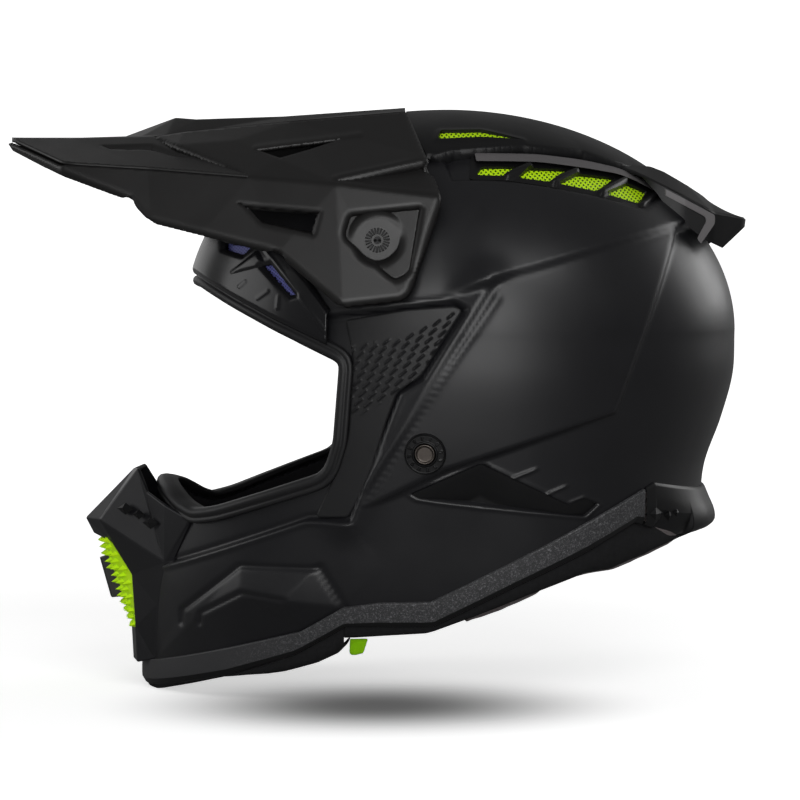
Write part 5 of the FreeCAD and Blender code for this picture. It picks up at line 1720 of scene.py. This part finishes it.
def build_insert():
    """The plate with its spikes."""
    u, v = np.meshgrid(np.linspace(-1, 1, 41), np.linspace(0, 1, 60), indexing="ij")
    parts = [(insert_point(u, v).reshape(-1, 3), grid_quads(41, 60))]
    for row in range(SPIKE_ROWS):
        count = 6 if row % 2 else 7
        for column in range(count):
            parts.append(spike((column - (count - 1) / 2) * SPIKE_STEP, 0.03 + row * ROW_STEP))
    points, quads = joined(*parts)
    mesh = new_mesh("muzzle_insert", points, with_triangles(quads), ["neon_green"])
    piece = new_object("muzzle_insert", mesh)
    sharpen(piece, 25)
    place(piece, "helmet", "muzzle_grille")
    return len(parts) - 1


print("green insert:", build_insert(), "spikes")

# %% [markdown]
# A black bar stands in front of the insert and keeps stones off it. It has flat faces too, so it
# is folded like the cover.

# %% Bar
BAR_CORNERS = {"a0": (0, -191.0, -83.0), "a1": (4.5, -190.0, -83.0), "b0": (0, -185.0, -104.0),
               "b1": (4.5, -184.0, -104.0), "c0": (0, -183.0, -80.5), "c1": (5.5, -182.5, -80.5),
               "d0": (0, -176.0, -103.0), "d1": (5.5, -175.5, -103.0)}
BAR_FACES = ["a0 b0 b1 a1", "a1 b1 d1 c1", "c0 a0 a1 c1", "b0 d0 d1 b1"]
bar = folded("muzzle_rib", BAR_CORNERS, BAR_FACES, "peak_black", 1.4, 0.5)
place(bar, "helmet", "muzzle_bar")
print("muzzle bar:", 2 * len(BAR_FACES), "faces")

# %% [markdown]
# Three scales lie on each flank of the muzzle, like the studs of the exhaust but leaning with the
# flank. The flank is flat, so its width comes from the triangles of its corners.

# %% Scales on the flanks
SCALE_AREA = {"q1": (-163.5, -46.0, 30.0), "q2": (-153.0, -52.0, 44.0), "s1": (-153.5, -81.5, 43.0),
              "r1": (-189.5, -62.0, 13.0)}
SCALES = [((-175.0, -55.5), 4.6, 2.4), ((-167.5, -58.0), 3.6, 2.4), ((-161.0, -62.0), 4.4, 2.4)]


def scale_stud(middle, size, height):
    """A four-sided stud on the flank of the muzzle."""
    foot = np.array([(middle[0] + size * math.cos(a), middle[1] + size * math.sin(a) * 0.7)
                     for a in QUARTERS] + [middle])
    x = facets(foot[:, 0], foot[:, 1], SCALE_AREA, ["q1 s1 r1", "q1 q2 s1"])
    points = np.column_stack([x + 0.2, foot])
    points[4] += np.array([0.75, -0.6, 0.3]) * height
    return points, STUD_QUADS


studded("muzzle_scales", [scale_stud(*row) for row in SCALES], "trim_black")
print("scales:", 2 * len(SCALES))

# %% [markdown]
# ## The rubber grips and the side vents
# Beside the port lies a rubber panel with rows of short slanted dashes, staggered like bricks.
# They keep a goggle strap from slipping. Copies of one dash would not follow the curved panel, so
# the dashes are raised by a rule in the side view turned by their slant, and every row keeps its
# pitch.

# %% Grips and side vents
GRIP = rounded([(-59.0, 44.5, 2), (-30.0, 49.8, 4), (-5.6, 51.6, 4), (-1.4, 49.4, 3),
                (-11.4, 33.9, 3), (-22.0, 16.8, 3), (-33.4, 9.2, 3), (-38.6, -4.8, 4),
                (-48.5, -37.2, 3), (-57.6, -53.2, 2), (-74.0, -53.6, 3), (-64.5, -33.0, 10),
                (-57.6, -14.0, 6), (-54.9, 26.0, 6)])
DASH_ZONE = [(-58.0, 32.0), (-30.0, 37.0), (-1.0, 52.0), (-12.0, 33.0), (-23.0, 15.0), (-34.0, 8.0),
             (-52.0, -3.0), (-60.0, 0.0)]
DASH_SLANT, DASH_PITCH, DASH_ROW = math.radians(27), 7.4, 2.9


def grip_height(y, z):
    """Low smooth rubber with dashes in its upper part."""
    u = y * math.cos(DASH_SLANT) + z * math.sin(DASH_SLANT)
    v = z * math.cos(DASH_SLANT) - y * math.sin(DASH_SLANT)
    row = np.floor(v / DASH_ROW)
    along = np.mod(u + row * DASH_PITCH / 2, DASH_PITCH) - DASH_PITCH / 2
    across = (v / DASH_ROW - row - 0.5) * DASH_ROW - along * 0.25
    dash = np.exp(-(across / 0.42) ** 2) * step(2.3 - np.abs(along), 0.8)
    zone = step(inside(y, z, DASH_ZONE) - 0.8, 2.0)
    rim = np.clip(inside(y, z, GRIP) / 1.0, 0, 1)
    return -0.9 + 0.5 * rim * (2 - rim) + 0.7 * dash * zone


def vent_floor(y, z):
    """The side vent's floor falls away from its upper edges, so its lower rim casts a shadow."""
    upper = line_distance(y, z, [(-26.2, -40.6), (7.5, -25.4), (50.5, -46.2), (58.7, -43.2)])
    return 0.5 - 4.0 * np.clip(upper / 15.0, 0, 1) ** 1.2


pair_from("rubber_grip", side_trim(GRIP, grip_height, pitch=0.4), "rubber_black", "strap_grip_left")
vent = side_trim(rounded([(*p, 1.5) for p in SIDE_VENT]), vent_floor, depth=4.0, pitch=0.8)
pair_from("vent_scoop", vent, "trim_black", "side_vent_left")
print("grips and side vents: two of each")

# %% [markdown]
# The brow frame is a glossy band over the port, with a window on each side of a small fin. It runs
# round the front, so it is laid out by turn and height rather than in the side view.

# %% Brow frame
BROW_TOP = [(-160.0, 90.0), (-150.0, 89.0), (-128.0, 87.0), (-100.0, 83.0), (-86.0, 76.0),
            (-64.0, 45.0)]
BROW_LOW = [(-160.0, 67.2), (-136.0, 67.4), (-116.0, 56.6), (-93.7, 45.2), (-66.0, 32.6)]
BROW_FIN = [(-114.0, 67.0), (-101.0, 76.5), (-97.5, 71.0)]
BROW_TURNS, BROW_ROWS = 460, 60
BROW_LINES = [[(-100.0, 82.0), (-66.0, 38.0)], [(-110.0, 60.0), (-107.0, 62.5)],
              [(-100.5, 54.5), (-95.5, 58.0)], [(-90.5, 50.0), (-90.0, 55.0)]]


def build_brow():
    """The brow frame with its windows cut out."""
    end = level_turn(-66.5, 40.0)
    turn = np.linspace(end, 2 * np.pi - end, BROW_TURNS)
    high, low = edge_heights(turn, BROW_TOP), edge_heights(turn, BROW_LOW)
    share = np.linspace(0, 1, BROW_ROWS)[:, None]
    base = around(np.broadcast_to(turn, (BROW_ROWS, BROW_TURNS)), high + (low - high) * share)
    y, z = base[..., 1], base[..., 2]
    rim = np.minimum(share, 1 - share) * (high - low)
    height = 2.4 * np.sqrt(np.clip(1 - (1 - np.clip(rim / 2.6, 0, 1)) ** 2, 0, None))
    height = height + 0.9 * step(inside(y, z, BROW_FIN), 2.0)
    for line in BROW_LINES:
        height = height + 0.35 * ridge(line_distance(y, z, line), 0.8)
    for window in BROW_WINDOWS:
        height = height - 1.2 * ridge(np.clip(-inside(y, z, window), 0, None), 1.4)
    points = base + outward(base) * height[..., None]
    quads = grid_quads(BROW_ROWS, BROW_TURNS)
    middles = base.reshape(-1, 3)[quads].mean(1)
    hole = np.zeros(len(quads), bool)
    for window in BROW_WINDOWS:
        hole |= inside(middles[:, 1], middles[:, 2], window) > 0
    brow = new_object("brow_frame", new_mesh("brow_frame", points, quads[~hole][:, ::-1],
                                             ["gloss_black"]))
    return place(walled(brow, 1.2), "helmet", "brow_vent")


build_brow()
BROW_ZONE = [(-122.0, 85.0), (-100.0, 83.0), (-88.0, 76.0), (-78.0, 53.0), (-86.0, 52.0),
             (-122.0, 76.0)]
brow_pane = side_trim(BROW_ZONE, lambda y, z: -0.6 + 0 * y, pitch=1.6)
pair_from("brow_pane", brow_pane, "mesh_violet", "brow_mesh_left")
print("brow: frame and two panes")

# %% [markdown]
# ## Screws, rings and rivets
# Turned pieces are discs whose height depends on radius and angle: the knurl of the peak's screws
# and the ticks of the rivet's ring are part of the same rule, so they stay evenly spaced.

# %% Turned pieces
DISC_CORNERS = 144


def disc(centre, outer, height, rings=26, facing=(1.0, 0.0, 0.0)):
    """A disc on the helmet's left that faces outwards; height depends on radius and angle."""
    radius = outer * np.linspace(0, 1, rings) ** 0.8
    angle = np.linspace(0, 2 * np.pi, DISC_CORNERS, endpoint=False)
    r, a = np.meshgrid(radius, angle, indexing="ij")
    facing = np.asarray(facing, float)
    across = np.array([0.0, 1.0, 0.0]) - facing * facing[1]
    across /= np.linalg.norm(across)
    up = np.cross(facing, across)
    points = np.asarray(centre) + facing * height(r, a)[..., None]
    points = points + across * (r * np.cos(a))[..., None] + up * (r * np.sin(a))[..., None]
    foot = points[-1] - facing * (height(outer + 0 * angle, angle)[:, None] + 1.5)
    points = np.concatenate([points, foot[None]])
    return points.reshape(-1, 3), grid_quads(rings + 1, DISC_CORNERS, closed=True)


print("discs have", DISC_CORNERS, "corners")

# %% [markdown]
# The peak's side screws are turned by hand: a flange, a knurled ring to grip and a small hub. The
# strap rivet is a steel cap in a plastic ring with twelve ticks. It stands square to the shell,
# which is not upright there.


# %% Screws and rivets
def screw_height(r, a):
    """A flange, a knurled ring and a small hub with two pips."""
    knurl = step(r - 3.0, 0.5) * step(6.0 - r, 0.5) * (1.3 + 1.0 * np.sign(np.sin(22 * a)))
    hub = step(2.1 - r, 0.6) * 0.8
    pips = ridge(np.hypot(r * np.cos(a) - 1.0, r * np.sin(a)), 0.45)
    pips = pips + ridge(np.hypot(r * np.cos(a) + 1.0, r * np.sin(a)), 0.45)
    flange = 1.4 - 0.9 * step(r - 8.2, 0.6) + 0.6 * ridge(r - 7.2, 0.5)
    return flange + knurl + hub + 0.6 * pips - 0.5 * ridge(r - 2.6, 0.35)


def ring_height(r, a):
    """The ring round the strap's rivet, with twelve ticks."""
    near = np.abs(np.mod(a + 0.1, np.pi / 6) - np.pi / 12) * r
    ticks = step(0.45 - near, 0.3) * step(r - 7.0, 0.4) * step(8.8 - r, 0.4)
    bowl = 1.7 - 0.7 * step(r - 6.2, 0.8) * step(9.6 - r, 0.8)
    return bowl + 0.5 * ticks - 1.8 * step(5.3 - r, 0.5) - 0.9 * step(r - 10.0, 0.5)


def cap_height(r, _):
    """The rivet's cap: a rim round a shallow dish."""
    return 1.6 + 0.5 * ridge(r - 4.5, 0.5) - 0.35 * step(3.9 - r, 0.8) - 1.2 * step(r - 5.0, 0.4)


RIVET = (-19.1, -19.9)
rivet_foot = np.array([float(side_x(*RIVET)), *RIVET])
rivet_axis = outward(rivet_foot)
rivet_foot = rivet_foot + rivet_axis * (float(relief(*RIVET)) + 0.2)
pair_from("peak_knob", disc((SEAT_FACE + 0.3, *PIVOT), 9.0, screw_height, 60), "screw_black",
          "peak_screw_left")
pair_from("rivet_collar", disc(rivet_foot, 10.2, ring_height, 60, rivet_axis), "plastic_ring",
          "rivet_ring_left")
pair_from("rivet_cap", disc(rivet_foot, 5.2, cap_height, 40, rivet_axis), "rivet_steel",
          "strap_rivet_left")
print("turned: two knobs, two collars, two caps")

# %% [markdown]
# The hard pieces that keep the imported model's own mesh get what every moulded or cut edge has: a
# small round. Edges that are flat to each other stay as they are.

# %% Rounded edges on hard pieces
ROUNDED = {"d_ring_outer": 0.7, "d_ring_inner": 0.7, "strap_anchor_left": 0.3,
           "strap_anchor_right": 0.3, "peak_centre_screw": 0.4, "peak_centre_bush": 0.4}
for name, radius in ROUNDED.items():
    weld = nodes[name].modifiers.new("weld", "WELD")
    weld.merge_threshold = WELD_DISTANCE
    bevel = nodes[name].modifiers.new("round", "BEVEL")
    bevel.width = radius * MM
    bevel.segments = 2
    bevel.limit_method = "ANGLE"
    bevel.angle_limit = math.radians(20)
    bevel.harden_normals = True
print("rounded:", ", ".join(ROUNDED))

# %% [markdown]
# ## The foam liner
# The foam liner sits right behind the shell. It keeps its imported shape, and every point that would
# stand outside the shell's inner face is drawn in to it, as moulded foam fills its shell and no
# more.

# %% Foam liner
FOAM_OFFSET = 3.6


def inside_shell(points, wall):
    """Points drawn in, level by level, to the form less the wall."""
    middle, back, front, half = section(points[:, 2], wall)
    reach = np.where(points[:, 1] > middle, back, front)
    level = (points[:, 0] / half) ** 2 + ((points[:, 1] - middle) / reach) ** 2
    share = 1 / np.sqrt(np.maximum(level, 1.0))
    return np.column_stack([points[:, 0] * share, middle + (points[:, 1] - middle) * share,
                            points[:, 2]])


foam = new_object("foam_liner", nodes["impact_liner"].data.copy())
even = foam.modifiers.new("even", "REMESH")
even.mode, even.voxel_size = "VOXEL", 2.0 * MM
settle(foam)
foam_points = np.array([v.co for v in foam.data.vertices]) / MM
foam_points = inside_shell(foam_points, FOAM_OFFSET)
foam.data.vertices.foreach_set("co", (foam_points * MM).ravel())
place(dressed(foam, "foam_black"), "helmet", "impact_liner")
print("foam liner:", len(foam.data.polygons), "faces")

# %% [markdown]
# ## The lining
# The lining is foam in a knitted cover: edges round off, faces swell between the seams. Each pad
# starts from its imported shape, is remeshed into even cloth and blown up a little in a cloth
# simulation with air inside. The motion is capped, so a pad never leaves its place.


# %% Even cloth
LAST_FRAME, AIR_PRESSURE, MOTION_CAP = 14, 3.0, 1.5


def cloth_start(node, voxel):
    """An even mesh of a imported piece, softened at the edges."""
    piece = new_object(node + "_cushion", nodes[node].data.copy())
    remesh = piece.modifiers.new("even", "REMESH")
    remesh.mode = "VOXEL"
    remesh.voxel_size = voxel * MM
    soften = piece.modifiers.new("soften", "SMOOTH")
    soften.factor, soften.iterations = 0.5, 5
    settle(piece)
    return piece


def add_cloth(piece, pressure):
    """Cloth with air inside and no gravity, as the pad sits in the helmet."""
    cloth_modifier = piece.modifiers.new("air", "CLOTH")
    settings = cloth_modifier.settings
    settings.quality = 4
    settings.mass = 0.15
    settings.tension_stiffness = settings.compression_stiffness = 25
    settings.bending_stiffness = 0.8
    settings.use_pressure = True
    settings.uniform_pressure_force = pressure
    settings.effector_weights.gravity = 0.0
    cloth_modifier.point_cache.frame_start = 1
    cloth_modifier.point_cache.frame_end = LAST_FRAME


print("cloth: frames 1 to", LAST_FRAME)

# %% [markdown]
# All five cushions are blown up in one run. Each has its own voxel size, the finest for the pads
# that show in the port. After the run the cloth is applied, its motion is cut to the cap, and one
# subdivision rounds it.

# %% Cushions
CUSHIONS = {"comfort_liner": 5.0, "cheek_pad_left": 3.5, "cheek_pad_right": 3.5,
            "chin_bar_liner": 4.0, "neck_roll": 3.5}
cushions = {name: cloth_start(name, voxel) for name, voxel in CUSHIONS.items()}
starts = {name: np.array([v.co for v in piece.data.vertices]) for name, piece in cushions.items()}
for piece in cushions.values():
    add_cloth(piece, AIR_PRESSURE)
for frame_number in range(1, LAST_FRAME + 1):
    scene.frame_set(frame_number)
for name, piece in cushions.items():
    settle(piece)
    ends = np.array([v.co for v in piece.data.vertices])
    move = ends - starts[name]
    length = np.linalg.norm(move, axis=1, keepdims=True)
    move *= np.minimum(1, MOTION_CAP * MM / np.maximum(length, 1e-9))
    piece.data.vertices.foreach_set("co", (starts[name] + move).ravel())
    print(name, "moved up to", round(float(length.max() * 1000), 2), "mm")
scene.frame_set(1)
for name, piece in cushions.items():
    dressed(piece, "fabric_taupe")
    rounder = piece.modifiers.new("rounder", "SUBSURF")
    rounder.levels = rounder.render_levels = 1
    body = "cheek_" + name.split("_")[-1] if name.startswith("cheek") else "helmet"
    place(piece, body, name)
print("cushions:", len(cushions))

# %% [markdown]
# The straps are flat woven webbing, doubled where they turn round the rings, and the pull tabs are
# folded ribbon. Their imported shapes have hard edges, so each is remeshed evenly and rounded over:
# woven bands have soft rims. The weave itself is in the finish.

# %% Straps and pull tabs
BAND_VOXEL = 0.8
finish["ribbon_green"] = cloth("ribbon_green", (0.36, 0.85, 0.004), thread=1100, sheen=0.0,
                               contrast=0.2)
BANDS = {"chin_strap_long": "helmet", "chin_strap_short": "helmet", "pull_tab_left": "cheek_left",
         "pull_tab_right": "cheek_right"}
for name, body in BANDS.items():
    band = cloth_start(name, BAND_VOXEL)
    band.name = name + "_band"
    dressed(band, "ribbon_green" if name.startswith("pull") else "webbing_black")
    place(band, body, name)
print("bands:", ", ".join(BANDS))
